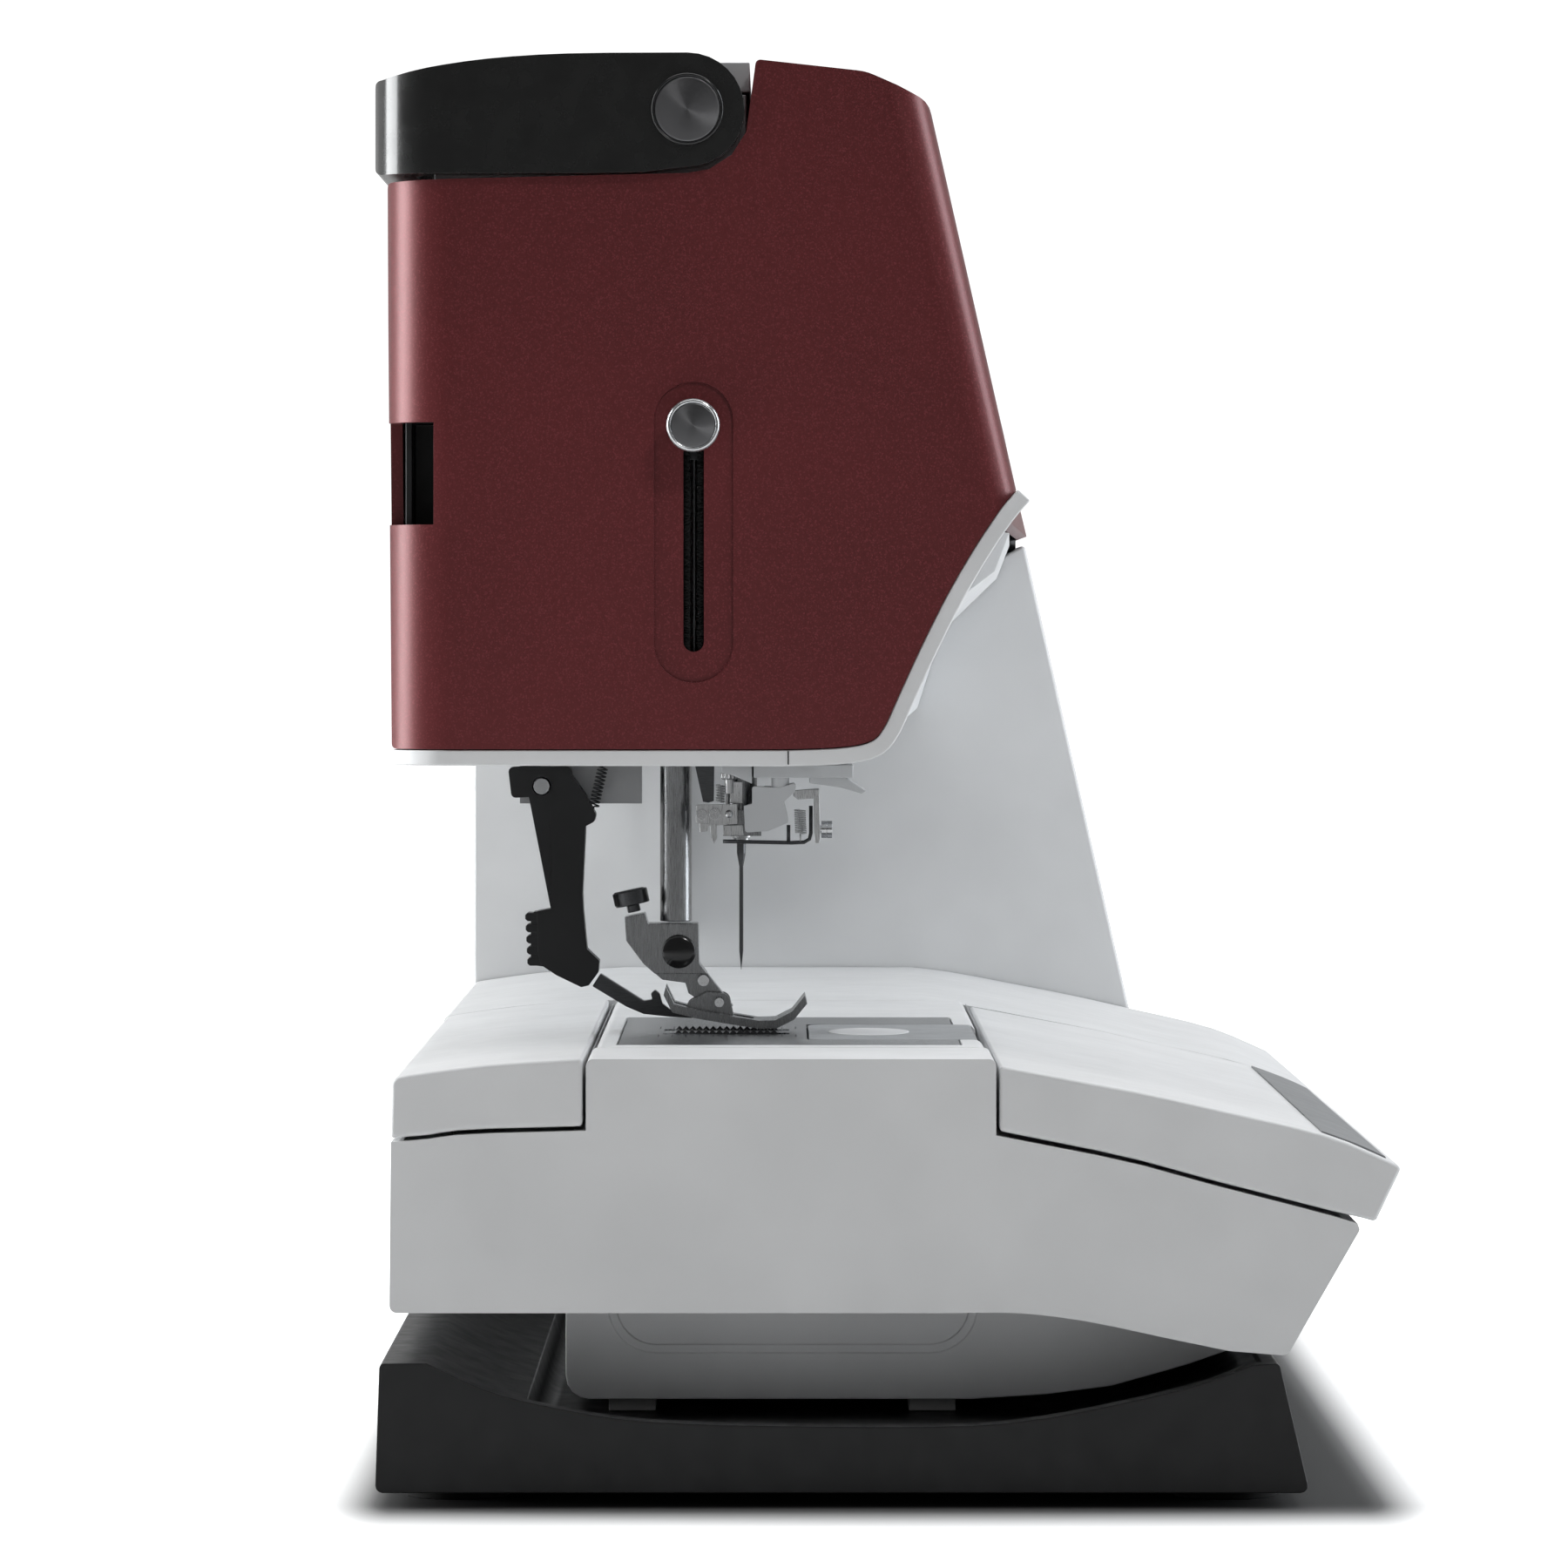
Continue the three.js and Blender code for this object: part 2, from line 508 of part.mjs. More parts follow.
const headInside = prismX(headHollow, HEAD_X + WALL, HEAD_SEAM + 1)
  .intersect(prismZ(planOf(WALL, HEAD_SEAM + 1), 100, TOP_Z + 16))
  .intersect(frontPrism(WALL, HEAD_SEAM + 1));
const socket = { y0: 94.8, y1: 103.8, z0: 204.2, z1: 226.2, x: HEAD_X + 9.5, depth: 14 };
const HATCH = { x0: NEEDLE_X - 16, x1: NEEDLE_X + 22, y0: 13.5, y1: 84 }; // where the bars come through the rim
const slot = { y: 39, half: 2.2, z0: 176.9, z1: 229 };
const recess = { half: 8.5, z0: slot.z0 - 6.6, z1: slot.z1 + 5.8, deep: 0.9 };
const BUTTON = { x: [NEEDLE_X - 24, NEEDLE_X, NEEDLE_X + 42], z: 224, r: 6, out: 0.3, travel: 1.2 };
const TAKE_UP = { x: NEEDLE_X + 19, y: 2, z: 232 }; // pivot of the thread take-up lever
const onHeadFront = (made) => made.rotate([90 - (leanAngle * 180) / Math.PI, 0, 0]);
const buttonHole = (x) =>
  onHeadFront(rodZ(0, 0, BUTTON.r + GAP, -12, 12, 24)).translate([x, frontY(BUTTON.z, HEAD_SETBACK), BUTTON.z]);
const stadium = (y, half, z0, z1, x0, x1) => prismX(rect(y - half, y + half, z0, z1, half, 8), x0, x1);
add(
  "head_cover",
  cut(
    prismX(headOutline, HEAD_X, HEAD_SEAM)
      .intersect(prismZ(headPlan, 100, TOP_Z + 16))
      .intersect(frontPrism(0, HEAD_SEAM)),
    headInside,
    stadium(slot.y, recess.half, recess.z0, recess.z1, HEAD_X - 1, HEAD_X + recess.deep),
    stadium(slot.y, slot.half, slot.z0, slot.z1, HEAD_X - 1, HEAD_X + WALL + 1),
    block(HEAD_X - 1, socket.x + 8, socket.y0, HEAD_REAR_Y + 5, socket.z0, socket.z1),
    block(HEAD_X + 9, HEAD_SEAM + 1, 27.4, LID_BACK + 3, FRAME_TOP, HANDLE.z - 3),
    block(HATCH.x0, HATCH.x1, HATCH.y0, HATCH.y1, 140, 170),
    block(TAKE_UP.x - 3.4, TAKE_UP.x + 3.4, -60, -8, TAKE_UP.z + 2, TAKE_UP.z + 48),
    ...BUTTON.x.map(buttonHole),
  ),
  maroon,
);
const wellRear = HEAD_REAR_Y - WALL - 1.6;
const wellOuter = block(
  socket.x,
  socket.x + socket.depth,
  socket.y0 - 1.6,
  wellRear,
  socket.z0 - 1.6,
  socket.z1 + 1.6,
);
const wellInner = block(
  socket.x - 1,
  socket.x + socket.depth - 1.6,
  socket.y0,
  wellRear - 1.4,
  socket.z0,
  socket.z1,
);
add("accessory_socket_well", cut(wellOuter, wellInner), softBlack);

// The rim: a light plate under the head whose edge turns up along the curve at the front.
const rimLine = headCurve.map(([y, z]) => new THREE.Vector2(y, z - GAP / 2));
const rimEdge = rimLine.map((p, i) => {
  const a = rimLine[Math.max(0, i - 1)];
  const b = rimLine[Math.min(rimLine.length - 1, i + 1)];
  const along = b.clone().sub(a).normalize();
  return new THREE.Vector2(p.x + along.y * RIM, p.y - along.x * RIM);
});
const rimRear = [
  new THREE.Vector2(HEAD_REAR_Y - 1.4, ARM_Z - GAP / 2), new THREE.Vector2(HEAD_REAR_Y - 1.4, ARM_Z - RIM),
];
const rimPlan = outline([[HEAD_X + 0.3, -60], [HEAD_SEAM, -60], [HEAD_SEAM, 120], [HEAD_X + 0.3, 120]]);
add(
  "head_rim",
  cut(
    prismX([...rimLine, ...rimRear, ...[...rimEdge].reverse()], HEAD_X, HEAD_SEAM)
      .intersect(prismZ(headPlan, 100, TOP_Z + 16))
      .intersect(prismZ(rimPlan, 100, TOP_Z + 16)),
    block(HATCH.x0, HATCH.x1, HATCH.y0, HATCH.y1, 140, 170),
  ),
  white,
);
add(
  "slot_brush",
  cut(
    block(HEAD_X + WALL + GAP, HEAD_X + WALL + 1.8, slot.y - 3.4, slot.y + 3.4, slot.z0 - 6, slot.z1 + 6),
    block(HEAD_X, HEAD_X + WALL + 9, slot.y - 0.8, slot.y + 0.8, slot.z0 - 4, slot.z1 + 4),
  ),
  softBlack,
);

// Threader lever: knob outside, blade through the brush, carriage on a guide rod inside.
const LEVER = { z: 225.2, travel: 44, knobR: 5.7, rod: 2, carriageX: HEAD_X + 8 };
const knobOut = HEAD_X - 11;
add(
  "threader_knob",
  union(
    rodX(0, 0, LEVER.knobR, knobOut, knobOut + 4.6, 32),
    rodX(0, 0, LEVER.knobR - 1.2, knobOut + 4.5, knobOut + 6.2, 24),
  ),
  steel,
  [0, slot.y, LEVER.z],
);
add(
  "threader_lever",
  cut(
    union(
      block(knobOut + 6.2 + GAP / 4, LEVER.carriageX + 1, -0.6, 0.6, -3, 3),
      block(LEVER.carriageX, LEVER.carriageX + 9, -4.4, 4.4, -7, 7),
    ),
    rodZ(LEVER.carriageX + 4.5, 0, LEVER.rod + GAP / 2, -20, 20, 16),
  ),
  darkSteel,
  [0, slot.y, LEVER.z],
);
add(
  "threader_guide_rod",
  rodZ(0, 0, LEVER.rod, ARM_Z + WALL + GAP, FRAME_TOP, 12),
  steel,
  [LEVER.carriageX + 4.5, slot.y, 0],
);

// ---------------------------------------------------------------- spool bay, lid and handle
const BAY = { x0: HEAD_X + 9.4, x1: BODY_RIGHT - WALL - GAP, y0: 27.8, y1: LID_BACK, wall: 2 };
const pivotPinR = 3;
const pivotHole = (x0, x1, r) => rodX(HANDLE.y, HANDLE.z, r, x0, x1, 16);
add(
  "spool_bay",
  cut(
    block(BAY.x0, BAY.x1, BAY.y0, BAY.y1, BAY_FLOOR, BAY_TOP),
    block(
      BAY.x0 + BAY.wall,
      BAY.x1 - BAY.wall,
      BAY.y0 + BAY.wall,
      BAY.y1 - BAY.wall,
      BAY_FLOOR + BAY.wall,
      BAY_TOP + 1,
    ),
  ),
  shade,
);
const lidCurve = [
  [LID_BACK + 1.6, BAY_TOP + 0.6], [LID_BACK + 1.6, TOP_Z - 3.8], [83, TOP_Z - 1.8], [53, TOP_Z], [27, TOP_Z],
  [27, BAY_TOP + 0.6],
];
const lidInner = [
  [LID_BACK - 1, BAY_TOP], [LID_BACK - 1, TOP_Z - 5.4], [83, TOP_Z - 3.8], [53, TOP_Z - 2], [29.4, TOP_Z - 2],
  [29.4, BAY_TOP],
];
add(
  "top_lid",
  cut(
    prismX(outline(lidCurve), BAY.x0, BODY_RIGHT - GAP),
    prismX(outline(lidInner), BAY.x0 + WALL, BODY_RIGHT - WALL),
  ),
  shade,
);
const handleRear = HEAD_REAR_Y + 2.5;
const handlePlan = cut(
  prismZ(
    outline([
      [HEAD_X - 3, 0], [BODY_RIGHT + 9, 0], [BODY_RIGHT + 9, handleRear, CORNER_R],
      [HEAD_X - 3, handleRear, CORNER_R],
    ], 8),
    HANDLE.z0 - 10, TOP_Z + 6,
  ),
  prismZ(
    outline([
      [HEAD_X + 6, -1], [BODY_RIGHT + GAP, -1], [BODY_RIGHT + GAP, handleRear - HANDLE.thick, 1],
      [HEAD_X + 6, handleRear - HANDLE.thick, 6],
    ]),
    HANDLE.z0 - 11, TOP_Z + 7,
  ),
);
const handleSide = outline([
  [handleRear, HANDLE.z0, 2], [handleRear, TOP_Z - 4.4, 2],
  ...curve(
    [
      [105.5, TOP_Z - 4.1], [96, TOP_Z - 2], [83, TOP_Z - 0.1], [66, TOP_Z + 1],
      [HANDLE.y, HANDLE.z + HANDLE.r],
    ],
    12,
  ),
  ...Array.from({ length: 15 }, (_, i) => {
    const t = (Math.PI * (7 - (i + 1) * (14 / 16))) / 14;
    return [HANDLE.y - HANDLE.r * Math.cos(t), HANDLE.z + HANDLE.r * Math.sin(t)];
  }),
  [HANDLE.y, HANDLE.z - HANDLE.r], [50, HANDLE.z0 + 0.2], [62, HANDLE.z0],
]);
add(
  "carry_handle",
  cut(
    handlePlan.intersect(prismX(handleSide, HEAD_X - 5, BODY_RIGHT + 12)),
    pivotHole(HEAD_X - 6, HEAD_X + 9, pivotPinR + 0.2),
    pivotHole(BODY_RIGHT, BODY_RIGHT + 12, pivotPinR + 0.2),
  ),
  black,
);
const pivotCap = (x0, x1) => rodX(HANDLE.y, HANDLE.z, 7.6, x0, x1, 32);
add(
  "handle_pivot_left",
  union(pivotCap(HEAD_X - 4.4, HEAD_X - 3.1), pivotHole(HEAD_X - 3.2, HEAD_X + 9.1, pivotPinR)),
  steel,
);
add(
  "handle_pivot_right",
  union(
    pivotCap(BODY_RIGHT + 9.1, BODY_RIGHT + 10.4),
    pivotHole(BODY_RIGHT + 0.1, BODY_RIGHT + 9.2, pivotPinR),
  ),
  steel,
);

const SPOOL = { x: NEEDLE_X + 180, y: 62, z: BAY_FLOOR + 15 };
add(
  "spool_pin",
  union(
    rodX(0, 0, 3, -56, 30, 12),
    rodX(0, 0, 11, -47, -43, 20),
    rodX(0, 0, 8, 30, 36, 16),
    block(32, 36, -6, 6, -12.6, 0),
  ),
  white,
  [SPOOL.x, SPOOL.y, SPOOL.z],
);
const WINDER = { x: BODY_RIGHT - 49, y: 56 };
add(
  "bobbin_winder",
  union(rodZ(0, 0, 8, 0, 2, 20), rodZ(0, 0, 2.9, 2, 18, 12)),
  white,
  [WINDER.x, WINDER.y, BAY_FLOOR + BAY.wall + GAP],
);

// ---------------------------------------------------------------- cast frame inside
const FRAME_Y = 50; // front face of the frame's web
const WEB = 6;
const frameOutline = outline([
  [NEEDLE_X - 26, 190], [NEEDLE_X - 26, FRAME_TOP], [BODY_RIGHT - 49, FRAME_TOP], [BODY_RIGHT - 49, 44],
  [NEEDLE_X - 34, 44],
  [NEEDLE_X - 34, 60], [BODY_RIGHT - 123, 60, 12], [BODY_RIGHT - 123, 205, 14], [NEEDLE_X + 40, 205],
  [NEEDLE_X + 40, 190],
]);
const BEARINGS = [NEEDLE_X + 34, NEEDLE_X + 180, BODY_RIGHT - 57];
const LOW_Y = HOOK_Y;
const LOW_Z = 51;
const LOW_BEARINGS = [NEEDLE_X + 40, BODY_RIGHT - 109];
const BOSS = 11; // outer radius of a bearing boss
const boss = (x, y, z) => union(
  rodX(y, z, BOSS, x - 5, x + 5, 16),
  block(x - 5, x + 5, y, FRAME_Y + 1, z - 5, z + 5),
);
const boreR = SHAFT_R + 0.2;
const headBracket = union(
  block(NEEDLE_X - 6, NEEDLE_X + 6, NEEDLE_Y - 8, FRAME_Y + 1, 192, 198),
  block(NEEDLE_X - 6, NEEDLE_X + 6, NEEDLE_Y - 8, FRAME_Y + 1, 164, 170),
  block(NEEDLE_X + 8, NEEDLE_X + 14, FRAME_Y, FRAME_Y + WEB, 164, 198),
  block(NEEDLE_X - 6, NEEDLE_X + 14, FRAME_Y, FRAME_Y + WEB, 164, 198),
);
const NEEDLE_BAR_R = 3.5;
const PRESSER = { y: 43.4, r: 3.5 };
const FEED_PIVOT = { y: 72.9, z: 147.2, r: 1.8 }; // pin of the dual-feed arm
const feedBracket = union(
  block(NEEDLE_X + 5, NEEDLE_X + 8.6, FRAME_Y + 1, 78, FEED_PIVOT.z - 4, 176),
  rodX(FEED_PIVOT.y, FEED_PIVOT.z, FEED_PIVOT.r, NEEDLE_X - 4.6, NEEDLE_X + 7, 12),
);
add(
  "cast_frame",
  cut(
    union(
      prismY(frameOutline, FRAME_Y, FRAME_Y + WEB),
      ...BEARINGS.map((x) => boss(x, SHAFT_Y, SHAFT_Z)),
      ...LOW_BEARINGS.map((x) => boss(x, LOW_Y, LOW_Z)),
      headBracket,
      feedBracket,
    ),
    rodX(SHAFT_Y, SHAFT_Z, boreR, NEEDLE_X, BODY_RIGHT, 20),
    rodX(LOW_Y, LOW_Z, boreR, NEEDLE_X, BODY_RIGHT, 20),
    rodZ(NEEDLE_X, NEEDLE_Y, NEEDLE_BAR_R + 0.3, 150, 210, 16),
    rodZ(NEEDLE_X, PRESSER.y, PRESSER.r + 0.3, 150, 210, 16),
  ),
  alloy,
);

// ---------------------------------------------------------------- drive train
const THROW = 13; // crank throw: half the needle bar's stroke
const PULLEY_R = 16;
const PULLEY_X = BODY_RIGHT - 39; // plane of the timing belt
const DRIVE_X = BODY_RIGHT - 21; // plane of the motor belt
const DRIVE_R = 27;
const crank = union(
  rodX(0, 0, 20, NEEDLE_X + 5, NEEDLE_X + 11, 28),
  rodX(0, THROW, 3, NEEDLE_X + NEEDLE_BAR_R + 0.6, NEEDLE_X + 6, 12),
);
const pulley = (r, x) => rodX(0, 0, r, x - 5, x + 5, 28);
add(
  "main_shaft",
  union(
    rodX(0, 0, SHAFT_R, NEEDLE_X + 10, BODY_RIGHT + 1, 20),
    crank, pulley(PULLEY_R, PULLEY_X), pulley(DRIVE_R, DRIVE_X),
  ),
  steel,
  [0, SHAFT_Y, SHAFT_Z],
);

// A belt round two pulleys: the convex skin of both outer circles less that of both pitch circles.
function belt(a, b, thick, width, x) {
  const loopOf = (grow) => {
    const points = [...circle(a.y, a.z, a.r + grow, 28), ...circle(b.y, b.z, b.r + grow, 28)];
    points.sort((p, q) => p.x - q.x || p.y - q.y);
    const turn = (o, p, q) => (p.x - o.x) * (q.y - o.y) - (p.y - o.y) * (q.x - o.x);
    const half = (list) =>
      list.reduce((kept, p) => {
        while (kept.length > 1 && turn(kept.at(-2), kept.at(-1), p) <= 1e-9) kept.pop();
        return [...kept, p];
      }, []);
    return [...half(points).slice(0, -1), ...half([...points].reverse()).slice(0, -1)];
  };
  return cut(
    prismX(loopOf(thick + GAP), x - width / 2, x + width / 2),
    prismX(loopOf(GAP), x - width, x + width),
  );
}
const upper = { y: SHAFT_Y, z: SHAFT_Z, r: PULLEY_R };
const lower = { y: LOW_Y, z: LOW_Z, r: PULLEY_R };
add("timing_belt", belt(upper, lower, 1.6, 8, PULLEY_X), softBlack);
const MOTOR = { y: 20, z: 128, r: 26, length: 58, pulleyR: 7 };
const motorAt = { y: MOTOR.y, z: MOTOR.z, r: MOTOR.pulleyR };
add("motor_belt", belt({ y: SHAFT_Y, z: SHAFT_Z, r: DRIVE_R }, motorAt, 1.6, 8, DRIVE_X), softBlack);
const motorFace = PULLEY_X - 8;
add("motor", rodX(0, 0, MOTOR.r, -MOTOR.length, 0, 28), darkSteel, [motorFace, MOTOR.y, MOTOR.z]);
add(
  "motor_pulley",
  union(rodX(0, 0, MOTOR.pulleyR, -5, 5, 20), rodX(0, 0, 3, motorFace + GAP - DRIVE_X, -4, 12)),
  steel,
  [DRIVE_X, MOTOR.y, MOTOR.z],
);
const wheelPoints = circle(0, 0, 25, 36);
add(
  "handwheel",
  cut(
    union(
      prismX(wheelPoints, BODY_RIGHT + 2, X_RIGHT),
      rodX(0, 0, 9, BODY_RIGHT + 1.2, BODY_RIGHT + 3, 24),
    ),
    rodX(0, 0, 17, X_RIGHT - 3, X_RIGHT + 1, 28),
  ),
  shade,
  [0, SHAFT_Y, SHAFT_Z],
);

// Lower shaft, face gear and hook. The hook turns twice for each turn of the shaft.
const GEAR = { teeth: 28, r: 14, pinionTeeth: 14, high: 1.8 };
const pinionR = (GEAR.r * GEAR.pinionTeeth) / GEAR.teeth;
const faceX = NEEDLE_X + pinionR; // pitch plane of the face gear
const toothBar = (i) =>
  block(faceX - 0.7, faceX + 2, -0.46, 0.46, GEAR.r - 2.6, GEAR.r + 2.6).rotate([(360 * i) / GEAR.teeth, 0, 0]);
add(
  "lower_shaft",
  union(
    rodX(0, 0, GEAR.r + 3, faceX + 1.2, faceX + 5, 36),
    rodX(0, 0, SHAFT_R, faceX + 4, PULLEY_X + 12, 20),
    pulley(PULLEY_R, PULLEY_X),
    ...Array.from({ length: GEAR.teeth }, (_, i) => toothBar(i)),
  ),
  steel,
  [0, LOW_Y, LOW_Z],
);
const pinionTooth = (i) =>
  block(pinionR - 1.6, pinionR + 0.6, -0.42, 0.42, -2.4, 2.4).rotate([0, 0, (360 * (i + 0.5)) / GEAR.pinionTeeth]);
const pinionZ = LOW_Z + GEAR.r;
const hookShaftR = 3;
const cup = cut(
  rodZ(0, 0, HOOK_R, HOOK_Z - 1.6, HOOK_Z + 12, 32),
  rodZ(0, 0, HOOK_R - 2, HOOK_Z, HOOK_Z + 13, 32),
);
add(
  "rotary_hook",
  union(
    cup,
    rodZ(0, 0, hookShaftR, 30 + BODY_Z, HOOK_Z, 16),
    rodZ(0, 0, pinionR - 1.4, pinionZ - 2.4, pinionZ + 2.4, 20),
    ...Array.from({ length: GEAR.pinionTeeth }, (_, i) => pinionTooth(i).translate([0, 0, pinionZ])),
  ),
  steel,
  [NEEDLE_X, HOOK_Y, 0],
);
const caseR = HOOK_R - 2.5;
add(
  "bobbin_case",
  cut(rodZ(0, 0, caseR, HOOK_Z + GAP, HOOK_Z + 12.4, 28), rodZ(0, 0, caseR - 1.6, HOOK_Z + 2, HOOK_Z + 14, 28)),
  softBlack,
  [NEEDLE_X, HOOK_Y, 0],
);
const spoolOf = (r, high) => union(
  rodZ(0, 0, r, 0, 1, 24),
  rodZ(0, 0, r / 2.4, 0, high, 16),
  rodZ(0, 0, r, high - 1, high, 24),
);
add("bobbin", cut(spoolOf(10.2, 10), rodZ(0, 0, 3, -1, 12, 12)), glass, [NEEDLE_X, HOOK_Y, HOOK_Z + 2.4]);

// ---------------------------------------------------------------- accessory tray round the free arm
const CHANNEL = { y0: ARM_FRONT - 0.7, y1: ARM_BACK + 0.6 }; // the free arm slides in between these
const trayOuter = outline([
  [REAR_Y - 0.1, 75.7], [REAR_Y + 0.2, TRAY_BOTTOM, 1.5],
  ...curve([[-16, TRAY_BOTTOM], [-29, TRAY_BOTTOM], [-43.4, 38.6], [-59.6, 35.2], [-72.2, 32.6]], 12),
  [-84.4, 31.6, 2], [-99.4, 57.6, 0.8],
  ...curve([[-98.9, 58.9], [-90.7, 61.3], [-69, 66.9], [-50.4, 71.9], [CHANNEL.y0, 77.1]], 10),
  [CHANNEL.y0, BED_Z - 0.1, 1.5], [CHANNEL.y1, BED_Z - 0.1, 1.5],
  ...curve([[CHANNEL.y1, 78.1], [84.5, 77.4], [REAR_Y - 8, 76.4]], 5),
]);
const frontBin = outline([
  [CHANNEL.y0 - WALL, 42.8], [-44, 41], [-60, 37.6], [-72, 35.2], [-82.6, 34.4], [-96, 58], [-96, 76],
  [CHANNEL.y0 - WALL, 84],
]);
const rearBin = rect(CHANNEL.y1 + WALL, REAR_Y - WALL, TRAY_BOTTOM + WALL, 90, 0);
const trayX = [X_LEFT, TRAY_RIGHT - GAP];
const binX = [X_LEFT + WALL, TRAY_RIGHT - GAP - WALL];
add(
  "tray_body",
  cut(
    prismX(trayOuter, ...trayX),
    prismX(frontBin, ...binX),
    prismX(rearBin, ...binX),
    block(FREE_ARM_X - GAP, TRAY_RIGHT + 1, CHANNEL.y0 + 0.3, CHANNEL.y1 - 0.2, 20, 99),
    block(
      X_LEFT + WALL,
      FREE_ARM_X + 1,
      CHANNEL.y0 + WALL,
      CHANNEL.y1 - WALL,
      TRAY_BOTTOM + WALL,
      BED_Z - WALL - 0.1,
    ),
  ),
  white,
);
const lidTop = (rear, z) => curve(
  [[rear, z], [-52.3, 86.4], [-69, 82.7], [-91.7, 77.4], [LIP_Y + 3, 71.8]],
  12,
);
const frontLidOuter = outline([
  ...lidTop(CHANNEL.y0 - 0.7, 91.5), [LIP_Y + 0.4, 70.6, 1], [-102.7, 59.3, 1],
  ...curve([[-100, 60], [-90.7, 62.2], [-69, 67.8], [-50.4, 72.8], [CHANNEL.y0 - 0.7, 78]], 10),
]);
const frontLidInner = outline([
  [CHANNEL.y0 - 0.7 - WALL, 70], [CHANNEL.y0 - 0.7 - WALL, 88.6], [-52.3, 83.8], [-69, 80], [-91.7, 74.6],
  [-105, 69.2],
  [-100.4, 58], [-60, 55],
]);
add("tray_lid_front", cut(prismX(frontLidOuter, ...trayX), prismX(frontLidInner, ...binX)), white);
const rearLidOuter = outline([
  [REAR_Y, 76.5], [REAR_Y - 0.3, 89, 2],
  ...curve([[REAR_Y - 4, 89.7], [80.9, 91.8], [CHANNEL.y1 + 0.7, 93.1]], 7),
  ...curve([[CHANNEL.y1 + 0.7, 79], [84.5, 78.3], [REAR_Y - 8, 77.2]], 5),
]);
const rearLidInner = outline([
  [REAR_Y - WALL, 74], [REAR_Y - WALL, 86.6], [80.9, 89.2], [CHANNEL.y1 + 0.7 + WALL, 90.4],
  [CHANNEL.y1 + 0.7 + WALL, 74],
]);
add("tray_lid_rear", cut(prismX(rearLidOuter, ...trayX), prismX(rearLidInner, ...binX)), white);

// ---------------------------------------------------------------- needle, threader, presser foot, dual feed
const clampZ = 136.3;
const needleBore = rodZ(NEEDLE_X, NEEDLE_Y, 1.3, clampZ - 3, clampZ + 8, 12);
const linkTop = SHAFT_Z + THROW;
const linkHalf = [-1.5, 2.4];
add(
  "needle_bar",
  cut(
    union(
      rodZ(NEEDLE_X, NEEDLE_Y, NEEDLE_BAR_R, clampZ + 2, SHAFT_Z - 8, 20),
      block(NEEDLE_X - 5, NEEDLE_X + 5, NEEDLE_Y - 4.4, NEEDLE_Y + 4, clampZ, clampZ + 5.6),
      rodX(NEEDLE_Y, clampZ + 2.6, 1.8, NEEDLE_X + 4, NEEDLE_X + 10, 16),
      block(
        NEEDLE_X + linkHalf[0],
        NEEDLE_X + linkHalf[1],
        NEEDLE_Y - 2.6,
        NEEDLE_Y + 2.6,
        SHAFT_Z - 12,
        linkTop,
      ),
      rodX(NEEDLE_Y, linkTop, 5.4, NEEDLE_X + linkHalf[0], NEEDLE_X + linkHalf[1], 20),
    ),
    needleBore,
  ),
  steel,
);
const needleTip = 106.7;
add(
  "needle",
  union(
    rodZ(0, 0, 1, clampZ - 4, clampZ + 7.4, 12),
    solid(new THREE.CylinderGeometry(1, 0.45, 3, 12).rotateX(Math.PI / 2).translate(0, 0, clampZ - 5.4)),
    rodZ(0, 0, 0.45, needleTip + 4, clampZ - 6, 8),
    solid(new THREE.CylinderGeometry(0.45, 0.04, 4.2, 8).rotateX(Math.PI / 2).translate(0, 0, needleTip + 2.1)),
  ),
  steel,
  [NEEDLE_X, NEEDLE_Y, 0],
);

const threaderHead = outline([
  [26.6, 147.3, 0.6], [20.8, 147], [16.8, 148.1, 0.6], [17.2, 146.1], [19.5, 144], [18.8, 140.9],
  [18.6, 139.4, 0.6],
  [23.2, 137.5], [28.1, 137.2, 0.6], [28.4, 143], [26.6, 143.5],
]);
add(
  "needle_threader",
  cut(
    union(
      prismX(threaderHead, NEEDLE_X - 10.6, NEEDLE_X + 4),
      rodZ(NEEDLE_X - 8.6, 20.4, 2, 146, 214, 14),
    ),
    block(NEEDLE_X - 5.6, NEEDLE_X + 9, NEEDLE_Y - 5, NEEDLE_Y + 9, 120, 160),
  ),
  shade,
);

const soleUnder = [
  [46, 101.5], [44.1, 97.7], [39, 96.4], [30.1, 94.9], [25, 94.1], [21.2, 94.2], [17.4, 96.1], [14.5, 99.6],
];
const SOLE = { thick: 1.8, half: 9 };
const solePoints = [
  ...soleUnder, ...soleUnder.map(([y, z]) => [y - (y - 31) * 0.03, z + SOLE.thick]).reverse(),
];
const FOOT_PIVOT = { y: 33.8, z: 99.8, r: 1 };
const cheek = (x) => prismX(
  outline([[41, 97], [41, 99.6, 2], [36.6, 102, 1], [31.7, 101.6, 2], [30.6, 96]]),
  x - 0.8,
  x + 0.8,
);
add(
  "presser_foot",
  cut(
    union(
      prismX(solePoints.map(([y, z]) => new THREE.Vector2(y, z)), NEEDLE_X - SOLE.half, NEEDLE_X + SOLE.half),
      cheek(NEEDLE_X - 4), cheek(NEEDLE_X + 4),
      rodX(FOOT_PIVOT.y, FOOT_PIVOT.z, FOOT_PIVOT.r, NEEDLE_X - 4.2, NEEDLE_X + 4.2, 12),
    ),
    prismZ(rect(NEEDLE_X - 3.4, NEEDLE_X + 3.4, NEEDLE_Y - 2.8, NEEDLE_Y + 1.8, 1.4, 3), 90, 98.2),
    block(NEEDLE_X - 2.5, NEEDLE_X + 2.5, 37.4, 50, 90, 105),
  ),
  steel,
);
